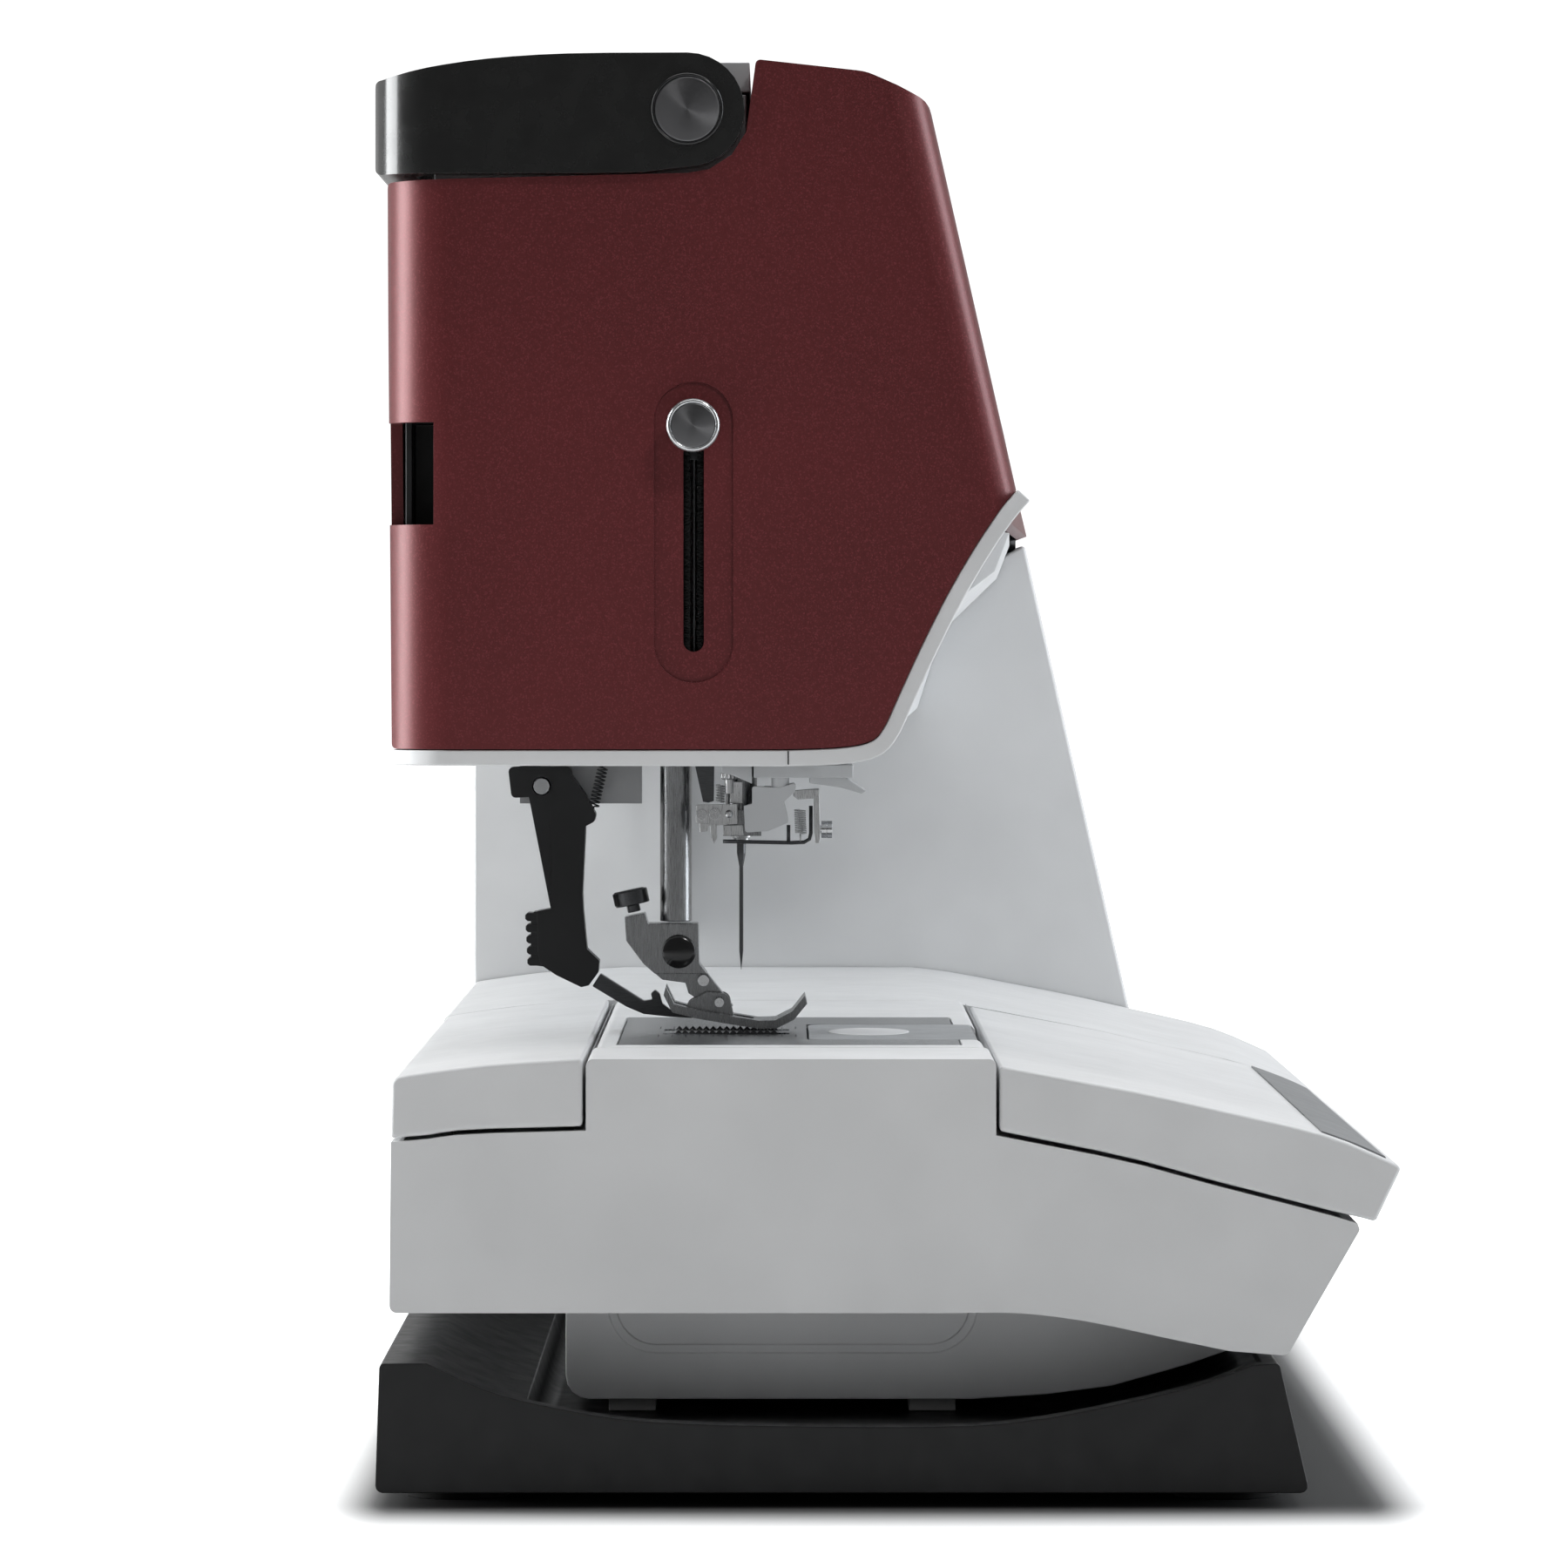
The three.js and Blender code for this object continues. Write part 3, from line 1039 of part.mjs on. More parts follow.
const ankleSide = outline([
  [54.6, 118.4], [50.2, 119.3], [49.5, 117], [38.4, 117], [38.2, 108.2], [30.8, 98.8], [36, 98.6],
  [40.6, 101.6], [41.3, 103.9],
  [46.4, 104.6], [50.5, 108.2], [54.3, 113.3],
]);
const SCREW = { y: 53.2, z: 121, r: 3.8, tilt: -12 };
add(
  "presser_foot_holder",
  cut(
    prismX(ankleSide, NEEDLE_X - 5, NEEDLE_X + 5),
    block(NEEDLE_X - 9, NEEDLE_X - 2.6, 20, 60, 90, 106),
    block(NEEDLE_X + 2.6, NEEDLE_X + 9, 20, 60, 90, 106),
    rodX(FOOT_PIVOT.y, FOOT_PIVOT.z, FOOT_PIVOT.r + 0.4, NEEDLE_X - 9, NEEDLE_X + 9, 14),
    block(NEEDLE_X - 9, NEEDLE_X + 9, FOOT_PIVOT.y - 1.1, FOOT_PIVOT.y + 1.1, 90, FOOT_PIVOT.z),
  ),
  steel,
);
add("presser_bar", rodZ(NEEDLE_X, PRESSER.y, PRESSER.r, 117.4, 224, 20), steel);
add(
  "foot_thumb_screw",
  union(rodZ(0, 0, SCREW.r, 0, 3.2, 24), rodZ(0, 0, 1.5, -1.6, 0.1, 12)).rotate([SCREW.tilt, 0, 0]),
  steel,
  [NEEDLE_X, SCREW.y - 0.3, SCREW.z],
);

const feedArmSide = outline([
  [80.3, 151.4, 1], [66.7, 151.6, 1], [66.3, 149.7], [63.2, 145.4], [60.9, 141, 1], [61.3, 139.4, 1],
  [63.2, 138.4], [63.9, 123.5],
  [63.7, 119.7], [62.9, 111.4], [60.2, 108.8], [60.4, 106.3], [62.5, 103.4], [64.2, 103, 0.5], [69.6, 105.6],
  [73.1, 107.9, 1],
  [73.7, 110.7], [73.9, 119.7], [70.9, 120.3], [75.7, 144.8], [79.5, 144.6, 1],
], 3);
add(
  "dual_feed_arm",
  cut(
    prismX(feedArmSide, NEEDLE_X - 4, NEEDLE_X + 4),
    rodX(FEED_PIVOT.y, FEED_PIVOT.z, FEED_PIVOT.r + 0.3, NEEDLE_X - 9, NEEDLE_X + 9, 14),
  ),
  black,
);
const feedFootSide = outline([
  [60, 105.9], [55.6, 103.1], [50.5, 99.9], [48.6, 100.2], [48.9, 101.5], [48, 102.3], [47, 101.5],
  [46.4, 99.3], [44.8, 98],
  [39.4, 97], [39.7, 96.1], [44.8, 96.4], [50.5, 97], [54.3, 98.6], [61.8, 103.1],
]);
add("dual_feed_foot", prismX(feedFootSide, NEEDLE_X - 2, NEEDLE_X + 2), darkSteel);

// Thread take-up lever in the slot of the head's front face.
add(
  "take_up_lever",
  cut(
    union(
      rodX(0, 0, 6, -2, 2, 20),
      prismX(
        [[0, -5], [0, 5], [-14, 15.2], [-21, 19], [-22.6, 16], [-14, 8.6]].map(([y, z]) => new THREE.Vector2(y, z)),
        -1.4,
        1.4,
      ),
    ),
    rodX(0, 0, 2.2, -3, 3, 12),
  ),
  steel,
  [TAKE_UP.x, TAKE_UP.y, TAKE_UP.z],
);

// ---------------------------------------------------------------- controls on the head, power inlet and switch
BUTTON.x.forEach((x, i) => {
  const cap = union(
    rodZ(0, 0, BUTTON.r, -WALL - 2, BUTTON.out, 24),
    rodZ(0, 0, BUTTON.r + 1.8, -WALL - 3.2, -WALL - BUTTON.travel - GAP, 24),
  );
  add(`head_button_${i + 1}`, onHeadFront(cap), shade, [x, frontY(BUTTON.z, HEAD_SETBACK), BUTTON.z]);
});
const INLET = { x0: BODY_RIGHT - 30, x1: BODY_RIGHT - 0.2, y0: 40.4, y1: 73.6, z0: 52.4, z1: 91.6, divide: 75 };
const contact = (y) => block(INLET.x0 + 2, INLET.x1 - 6, y - 1, y + 1, 61, 65);
add(
  "power_inlet",
  union(
    cut(
      block(INLET.x0, INLET.x1, INLET.y0, INLET.y1, INLET.z0, INLET.z1),
      block(INLET.x0 + 5, INLET.x1 + 1, INLET.y0 + 5, INLET.y1 - 5, INLET.z0 + 4, INLET.divide - 3),
      block(INLET.x0 + 5, INLET.x1 + 1, INLET.y0 + 5, INLET.y1 - 5, INLET.divide, INLET.z1 - 3),
    ),
    contact(52), contact(62),
  ),
  softBlack,
);
const rockerZ = (INLET.divide + INLET.z1 - 3) / 2;
const rockerSide = [[-6, 5.2], [-6, -5.2], [0.6, -6], [-0.4, 0], [2.2, 5.7]].map(
  ([x, z]) => new THREE.Vector2(x, z),
);
add("power_switch", prismY(rockerSide, -11, 11), black, [INLET.x1 - 0.6, (INLET.y0 + INLET.y1) / 2, rockerZ]);

export default machine;
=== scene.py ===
import json
import math
import random

import bmesh
import bpy
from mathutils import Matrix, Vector


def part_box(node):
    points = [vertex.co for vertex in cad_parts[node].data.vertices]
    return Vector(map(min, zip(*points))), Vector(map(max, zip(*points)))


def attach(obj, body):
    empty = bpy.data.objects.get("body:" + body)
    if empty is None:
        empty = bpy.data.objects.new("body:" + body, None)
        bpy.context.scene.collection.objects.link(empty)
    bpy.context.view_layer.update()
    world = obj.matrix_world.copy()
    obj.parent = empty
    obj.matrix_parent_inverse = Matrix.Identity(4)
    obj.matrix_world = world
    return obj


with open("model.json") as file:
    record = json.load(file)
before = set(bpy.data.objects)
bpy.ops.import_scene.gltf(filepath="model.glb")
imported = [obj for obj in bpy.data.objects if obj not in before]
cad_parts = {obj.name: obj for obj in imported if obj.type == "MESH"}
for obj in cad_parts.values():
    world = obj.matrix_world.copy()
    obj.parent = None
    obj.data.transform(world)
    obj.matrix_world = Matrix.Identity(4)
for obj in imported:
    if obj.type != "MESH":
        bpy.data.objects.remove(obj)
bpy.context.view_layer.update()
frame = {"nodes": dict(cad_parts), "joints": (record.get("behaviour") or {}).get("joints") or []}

NODES = frame["nodes"]
MM = 0.001
BASE = "machine"  # the body that stands still
NEEDLE = (Vector(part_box("needle")[0]) + Vector(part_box("needle")[1])) / 2 / MM


# ---------------------------------------------------------------- camera, light and floor
# Places and sizes here are in metres.
CAMERA_AT = (-1.840, 0.02055, 0.1818)
SENSOR_WIDTH, LENS = 36, 171.1
SHIFT_X, SHIFT_Y = 0.0028, -0.0989

WHITE_LIGHT = (1, 1, 1)
KEY_AT = (-1.45, -0.52, 1.15)
HEAD_MIDDLE = (-0.242, 0.045, 0.218)
SOFTBOXES = (  # name, place, target, size, watts, colour
    ("top_softbox", (0.15, 0.0, 1.5), (0.1, 0, 0.1), (1.6, 1.2), 14, WHITE_LIGHT),
    ("rear_strip", (-0.1, 1.1, 0.35), (-0.1, 0.1, 0.15), (0.5, 1.2), 20, (0.97, 0.99, 1.0)),
    ("front_strip", (-0.1, -1.2, 0.5), (-0.1, -0.05, 0.2), (0.5, 1.2), 12, (0.9, 0.95, 1.0)),
    ("key_softbox", KEY_AT, (-0.25, 0.03, 0.17), (0.32, 0.32), 2.3, WHITE_LIGHT),
)
SPOT_WATTS, SPOT_ANGLE, SPOT_RADIUS = 17, 8, 0.08
BACKDROP = 1.1  # brightness of the room behind the machine
ROOM_REACH, ROOM_LEVEL = (-0.8, 0.3), (0.15, 0.5)  # the room is darker towards -X

FLOOR_HALF = 12
FOOTPRINT = (0.29, 0.1, 0)  # half the ground the machine stands on
SHADOW_SHAPE = (1, 3.2, 1)  # the painted shadow dies away faster across the machine than along it
# the floor's glow and colour are lowest near the machine: a painted shadow
GLOW_REACH, GLOW_LEVEL = (0.015, 0.075), (0.0, 0.85)
PAINTED_SHADOW_REACH, PAINTED_SHADOW_LEVEL = (0, 0.06), (0.05, 0.8)


def place_object(name, data, at):
    made = bpy.data.objects.new(name, data)
    made.location = at
    bpy.context.scene.collection.objects.link(made)
    return made


def place_light(name, data, at, target):
    made = place_object(name, data, at)
    made.rotation_euler = (Vector(target) - Vector(at)).to_track_quat("-Z", "Y").to_euler()


def ramp(tree, value, reach, level, smooth=False):
    """Takes a value from one range to another."""
    made = tree.nodes.new("ShaderNodeMapRange")
    if smooth:
        made.interpolation_type = "SMOOTHSTEP"
    made.inputs["From Min"].default_value, made.inputs["From Max"].default_value = reach
    made.inputs["To Min"].default_value, made.inputs["To Max"].default_value = level
    tree.links.new(value, made.inputs["Value"])
    return made.outputs["Result"]


def make_camera():
    data = bpy.data.cameras.new("camera")
    data.sensor_width = SENSOR_WIDTH
    data.lens = LENS
    data.shift_x, data.shift_y = SHIFT_X, SHIFT_Y
    data.clip_end = 50
    camera = place_object("camera", data, CAMERA_AT)
    camera.rotation_euler = (math.radians(90), 0, math.radians(-90))
    bpy.context.scene.camera = camera


def make_lights():
    for name, at, target, size, watts, color in SOFTBOXES:
        data = bpy.data.lights.new(name, "AREA")
        data.shape = "RECTANGLE"
        data.size, data.size_y = size
        data.energy = watts
        data.color = color
        place_light(name, data, at, target)
    data = bpy.data.lights.new("head_spot", "SPOT")
    data.energy = SPOT_WATTS
    data.spot_size = math.radians(SPOT_ANGLE)
    data.spot_blend = 1
    data.shadow_soft_size = SPOT_RADIUS
    place_light("head_spot", data, KEY_AT, HEAD_MIDDLE)


def make_room():
    """A white backdrop for the camera, and a softer grey room for the light."""
    world = bpy.data.worlds.new("studio")
    bpy.context.scene.world = world
    world.use_nodes = True
    tree = world.node_tree
    back = tree.nodes["Background"]
    back.inputs["Color"].default_value = (1, 1, 1, 1)
    seen = tree.nodes.new("ShaderNodeLightPath")
    way = tree.nodes.new("ShaderNodeTexCoord")
    split = tree.nodes.new("ShaderNodeSeparateXYZ")
    tree.links.new(way.outputs["Generated"], split.inputs["Vector"])
    level = tree.nodes.new("ShaderNodeMix")
    tree.links.new(seen.outputs["Is Camera Ray"], level.inputs["Factor"])
    tree.links.new(ramp(tree, split.outputs["X"], ROOM_REACH, ROOM_LEVEL), level.inputs["A"])
    level.inputs["B"].default_value = BACKDROP
    tree.links.new(level.outputs["Result"], back.inputs["Strength"])


def make_floor():
    """A pale floor with a painted shadow: its colour and its glow are darkest under the machine and melt into
    the backdrop away from it.
    """
    mesh = bpy.data.meshes.new("floor")
    s = FLOOR_HALF
    mesh.from_pydata([(-s, -s, 0), (s, -s, 0), (s, s, 0), (-s, s, 0)], [], [(0, 1, 2, 3)])
    floor = place_object("floor", mesh, (0, 0, 0))
    material = bpy.data.materials.new("floor_painted_shadow")
    material.use_nodes = True
    tree = material.node_tree
    shader = tree.nodes["Principled BSDF"]
    shader.inputs["Roughness"].default_value = 0.9
    shader.inputs["Emission Color"].default_value = (1, 1, 1, 1)
    distance = tree.nodes.new("ShaderNodeTexCoord").outputs["Object"]
    for operation, value in (
        ("ABSOLUTE", None),
        ("SUBTRACT", FOOTPRINT),
        ("MAXIMUM", (0, 0, 0)),
        ("MULTIPLY", SHADOW_SHAPE),
        ("LENGTH", None),
    ):
        step = tree.nodes.new("ShaderNodeVectorMath")
        step.operation = operation
        tree.links.new(distance, step.inputs[0])
        if value:
            step.inputs[1].default_value = value
        distance = step.outputs["Value" if operation == "LENGTH" else "Vector"]
    seen = tree.nodes.new("ShaderNodeLightPath")
    lift = tree.nodes.new("ShaderNodeMath")
    lift.operation = "MULTIPLY"
    # no glow near the machine, so the floor is darker there: part of the painted shadow
    tree.links.new(ramp(tree, distance, GLOW_REACH, GLOW_LEVEL), lift.inputs[0])
    tree.links.new(seen.outputs["Is Camera Ray"], lift.inputs[1])
    tree.links.new(lift.outputs["Value"], shader.inputs["Emission Strength"])
    # the floor's colour darkens towards the machine: a painted shadow
    painted_shadow = ramp(tree, distance, PAINTED_SHADOW_REACH, PAINTED_SHADOW_LEVEL, smooth=True)
    tree.links.new(painted_shadow, shader.inputs["Base Color"])
    mesh.materials.append(material)


# ---------------------------------------------------------------- materials
class Shade:
    """A Principled material whose textures are laid out in metres on the object."""

    def __init__(self, name, color, roughness, metallic=0.0, specular=0.5, **more):
        self.material = bpy.data.materials.new(name)
        self.material.use_nodes = True
        self.tree = self.material.node_tree
        self.shader = self.tree.nodes["Principled BSDF"]
        self.set("Base Color", (*color, 1))
        self.set("Roughness", roughness)
        self.set("Metallic", metallic)
        self.set("Specular IOR Level", specular)
        for key, value in more.items():
            self.set(key.replace("_", " "), value)
        self.place = self.tree.nodes.new("ShaderNodeTexCoord").outputs["Object"]
        self.height = None  # the bumps laid on so far

    def set(self, socket, value):
        self.shader.inputs[socket].default_value = value

    def node(self, kind, links=(), **values):
        """A new node: links feeds its inputs, values sets its properties or inputs."""
        made = self.tree.nodes.new(kind)
        for key, value in values.items():
            if hasattr(made, key):
                setattr(made, key, value)
            else:
                made.inputs[key.replace("_", " ")].default_value = value
        for key, output in dict(links).items():
            self.tree.links.new(output, made.inputs[key])
        return made

    def at(self, stretch=(1, 1, 1)):
        made = self.node("ShaderNodeMapping", {"Vector": self.place})
        made.inputs["Scale"].default_value = stretch
        return made.outputs["Vector"]

    def noise(self, size_mm, detail=3.0, stretch=(1, 1, 1)):
        made = self.node("ShaderNodeTexNoise", {"Vector": self.at(stretch)})
        made.inputs["Scale"].default_value = 1 / (size_mm * MM)
        made.inputs["Detail"].default_value = detail
        made.inputs["Roughness"].default_value = 0.55
        return made.outputs["Fac"]

    def cells(self, size_mm):
        made = self.node("ShaderNodeTexVoronoi", {"Vector": self.at()})
        made.inputs["Scale"].default_value = 1 / (size_mm * MM)
        return made.outputs["Color"]

    def spread(self, fac, low, high, at=(0.3, 0.7)):
        """Stretches the busy middle of a noise to run from low to high."""
        return ramp(self.tree, fac, at, (low, high))

    def blend(self, fac, a, b):
        """Mixes two colours, each a tuple or another node's output."""
        made = self.node("ShaderNodeMix", data_type="RGBA")
        self.tree.links.new(fac, made.inputs["Factor"])
        for socket, value in ((made.inputs[6], a), (made.inputs[7], b)):  # the colour sockets A and B
            if isinstance(value, tuple):
                socket.default_value = (*value[:3], 1)
            else:
                self.tree.links.new(value, socket)
        return made.outputs[2]  # the colour result

    def paint(self, output):
        self.tree.links.new(output, self.shader.inputs["Base Color"])

    def gloss(self, output):
        self.tree.links.new(output, self.shader.inputs["Roughness"])

    def relief(self, fac, depth_mm, strength):
        """Adds a bump on top of the ones before it."""
        made = self.node("ShaderNodeBump", {"Height": fac})
        made.inputs["Distance"].default_value = depth_mm * MM
        made.inputs["Strength"].default_value = strength
        if self.height:
            self.tree.links.new(self.height, made.inputs["Normal"])
        self.height = made.outputs["Normal"]
        self.tree.links.new(self.height, self.shader.inputs["Normal"])


def tint(color, k):
    """The colour, k times as bright."""
    return tuple(min(1, c * k) for c in color)


def moulded(name, color, roughness, grain=0.35, depth=0.012, vary=0.04, **more):
    """Moulded plastic: a fine spark-eroded grain, faint clouding, and slightly uneven gloss."""
    made = Shade(name, color, roughness, **more)
    cloud = made.noise(28, 2)
    made.paint(made.blend(made.spread(cloud, 0, 1), tint(color, 1 - vary), tint(color, 1 + vary)))
    made.gloss(made.spread(made.noise(6, 4), roughness - 0.05, roughness + 0.06))
    made.relief(made.noise(grain, 2), depth, 0.5)
    return made.material


def lacquer(name, color, roughness):
    """Satin metallic paint: flakes a quarter of a millimetre across that catch the light one by one."""
    made = Shade(name, color, roughness, metallic=0.35, specular=0.4, Coat_Weight=0.3, Coat_Roughness=0.3)
    flake = made.node("ShaderNodeSeparateColor", {"Color": made.cells(0.28)}).outputs["Red"]
    fine = made.noise(0.5, 2)
    base = made.blend(made.spread(made.noise(45, 2), 0, 1), tint(color, 0.93), tint(color, 1.07))
    red, green, blue = color
    spark = tint((red, green * 1.4, blue * 1.5), 1.5)
    made.paint(made.blend(made.spread(flake, 0, 1, (0.72, 1.0)), base, spark))
    made.gloss(made.spread(flake, roughness - 0.07, roughness + 0.05, (0, 1)))
    made.relief(fine, 0.010, 0.5)
    made.relief(flake, 0.006, 0.6)
    return made.material


def brushed(name, color, roughness, along=(0.03, 1, 1), grain=0.12, **more):
    """Metal ground in one direction."""
    made = Shade(name, color, roughness, metallic=1.0, **more)
    line = made.noise(grain, 4, along)
    made.paint(made.blend(made.spread(line, 0, 1), tint(color, 0.8), tint(color, 1.12)))
    made.gloss(made.spread(line, roughness - 0.07, roughness + 0.1))
    made.relief(line, 0.008, 0.6)
    return made.material


def rubber(name, color):
    """Dull rubber or hair, with a coarse uneven surface."""
    made = Shade(name, color, 0.8, specular=0.3)
    made.paint(made.blend(made.spread(made.noise(3, 4), 0, 1), tint(color, 0.75), tint(color, 1.3)))
    made.relief(made.noise(0.4, 3), 0.03, 0.6)
    return made.material


def turned(name, color):
    """A disc faced on a lathe: fine rings round its middle spread the light into a bow-tie."""
    made = Shade(name, color, 0.3, metallic=1.0, Anisotropic=0.85)
    ring_count = 90
    place = made.tree.nodes.new("ShaderNodeTexCoord").outputs["Generated"]
    out = made.node("ShaderNodeVectorMath", {0: place}, operation="SUBTRACT")
    out.inputs[1].default_value = (0.5, 0.5, 0.5)
    flat = made.node("ShaderNodeVectorMath", {0: out.outputs["Vector"]}, operation="MULTIPLY")
    flat.inputs[1].default_value = (0, 1, 1)
    reach = made.node("ShaderNodeVectorMath", {0: flat.outputs["Vector"]}, operation="LENGTH")
    count = made.node("ShaderNodeMath", {0: reach.outputs["Value"]}, operation="MULTIPLY")
    count.inputs[1].default_value = ring_count
    rings = made.node("ShaderNodeTexNoise", {"W": count.outputs[0]}, noise_dimensions="1D")
    rings.inputs["Detail"].default_value = 3
    made.paint(made.blend(made.spread(rings.outputs["Fac"], 0, 1), tint(color, 0.75), tint(color, 1.25)))
    made.relief(rings.outputs["Fac"], 0.01, 0.5)
    tangent = made.node("ShaderNodeTangent", direction_type="RADIAL", axis="X")
    made.tree.links.new(tangent.outputs["Tangent"], made.shader.inputs["Tangent"])
    return made.material


M = {
    "maroon": lacquer("wine_lacquer", (0.105, 0.0098, 0.0118), 0.42),
    "white": moulded("white_moulding", (0.66, 0.665, 0.67), 0.46),
    "light": moulded("light_grey_moulding", (0.5, 0.51, 0.52), 0.42),
    "grey": moulded("grey_moulding", (0.27, 0.28, 0.29), 0.38),
    "black": moulded(
        "black_moulding", (0.009, 0.0092, 0.0098), 0.36, grain=0.25, depth=0.008, vary=0.15, specular=0.3,
    ),
    "handle": moulded(
        "handle_moulding", (0.004, 0.0042, 0.004), 0.26, grain=0.2, depth=0.004, vary=0.1, specular=0.4,
        Coat_Weight=0.6, Coat_Roughness=0.1,
    ),
    "steel": brushed("brushed_steel", (0.25, 0.255, 0.26), 0.26, (1, 1, 0.03)),
    "dark_steel": brushed("dark_steel", (0.075, 0.077, 0.08), 0.34, (1, 0.05, 1)),
    "alloy": moulded("cast_alloy", (0.33, 0.335, 0.34), 0.5, grain=0.8, depth=0.05, metallic=0.9),
    "rubber": rubber("rubber", (0.012, 0.012, 0.012)),
    "glass": moulded("screen_glass", (0.006, 0.007, 0.009), 0.1, grain=3, depth=0.001),
    "chrome": brushed("polished_steel", (0.62, 0.63, 0.64), 0.14, (1, 1, 1), 0.3),
    "bright_steel": brushed("bright_steel", (0.5, 0.505, 0.51), 0.3, (1, 1, 0.05)),
    "turned": turned("turned_steel", (0.16, 0.16, 0.165)),
    "gloss_black": moulded("gloss_black_moulding", (0.006, 0.006, 0.0065), 0.12, grain=2, depth=0.002),
    "bristle": rubber("bristle", (0.006, 0.006, 0.006)),
    "grip": moulded("grip_moulding", (0.2, 0.205, 0.21), 0.62, grain=0.9, depth=0.12),
    "engraved": moulded("engraved_line", (0.05, 0.05, 0.052), 0.6),
    "clear": moulded("clear_moulding", (0.7, 0.72, 0.74), 0.15, Alpha=0.5),
}
FINISH = {  # the material of each CAD node
    "maroon": "head_cover front_fascia",
    "white": "lower_body_pan free_arm_housing fixed_bed column_cover arm_under_cover arm_rear_cover "
    "right_end_cover head_rim tray_body tray_lid_front tray_lid_rear spool_pin bobbin_winder",
    "light": "spool_bay top_lid handwheel needle_threader head_button_1 head_button_2 head_button_3",
    "grey": "bobbin_cover",
    "black": "base_plinth dual_feed_arm power_inlet power_switch accessory_socket_well bobbin_case motor",
    "handle": "carry_handle",
    "steel": "needle_plate threader_knob threader_guide_rod handle_pivot_left handle_pivot_right main_shaft "
    "motor_pulley lower_shaft rotary_hook needle_bar presser_foot presser_foot_holder presser_bar "
    "take_up_lever",
    "dark_steel": "feed_dog threader_lever dual_feed_foot foot_thumb_screw needle",
    "alloy": "cast_frame",
    "rubber": "rubber_foot_front_left rubber_foot_rear_left rubber_foot_front_right rubber_foot_rear_right "
    "slot_brush timing_belt motor_belt",
    "glass": "touch_screen",
    "clear": "bobbin",
}
USUAL_EDGE = 0.25
EDGE = {  # edge rounding in mm where it isn't the usual; the plate's slots are too tight for any
    "carry_handle": 2.6, "head_cover": 0.5, "tray_body": 0.9, "tray_lid_front": 0.8, "tray_lid_rear": 0.8,
    "column_cover": 0.9, "fixed_bed": 0.8, "base_plinth": 0.8, "lower_body_pan": 1.5, "free_arm_housing": 0.5,
    "needle_plate": 0, "bobbin_cover": 0.2, "head_rim": 0.4, "feed_dog": 0, "needle": 0.03,
}


def soften(node, width):
    """Rounds a CAD node's hard edges and shades it smoothly, without touching its mesh."""
    for face in node.data.polygons:
        face.use_smooth = True
    weld = node.modifiers.new("weld", "WELD")
    weld.merge_threshold = 2e-6
    flat = node.modifiers.new("flat", "DECIMATE")
    flat.decimate_type = "DISSOLVE"
    flat.angle_limit = math.radians(0.5)
    if width:
        bevel = node.modifiers.new("edge", "BEVEL")
        bevel.width = width * MM
        bevel.segments = 3
        bevel.limit_method = "ANGLE"
        bevel.angle_limit = math.radians(28)
        bevel.miter_outer = "MITER_ARC"
        bevel.harden_normals = True
    normal = node.modifiers.new("normal", "WEIGHTED_NORMAL")
    normal.keep_sharp = True


def finish_nodes():
    for key, names in FINISH.items():
        for name in names.split():
            node = NODES[name]
            node.data.materials.clear()
            node.data.materials.append(M[key])
            soften(node, EDGE.get(name, USUAL_EDGE))


# ---------------------------------------------------------------- small visible pieces
# Places and sizes from here on are in millimetres.
LEFT, FRONT, UP = (-1, 0, 0), (0, -1, 0), (0, 0, 1)


def corner(node, end):
    """A node's low (0) or high (1) corner in millimetres."""
    return Vector(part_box(node)[end]) / MM


def end_middle(node, side):
    """The middle of a node's end that faces -X (side 0) or +X (side 1)."""
    low, high = corner(node, 0), corner(node, 1)
    return ((low, high)[side].x, (low.y + high.y) / 2, (low.z + high.z) / 2)


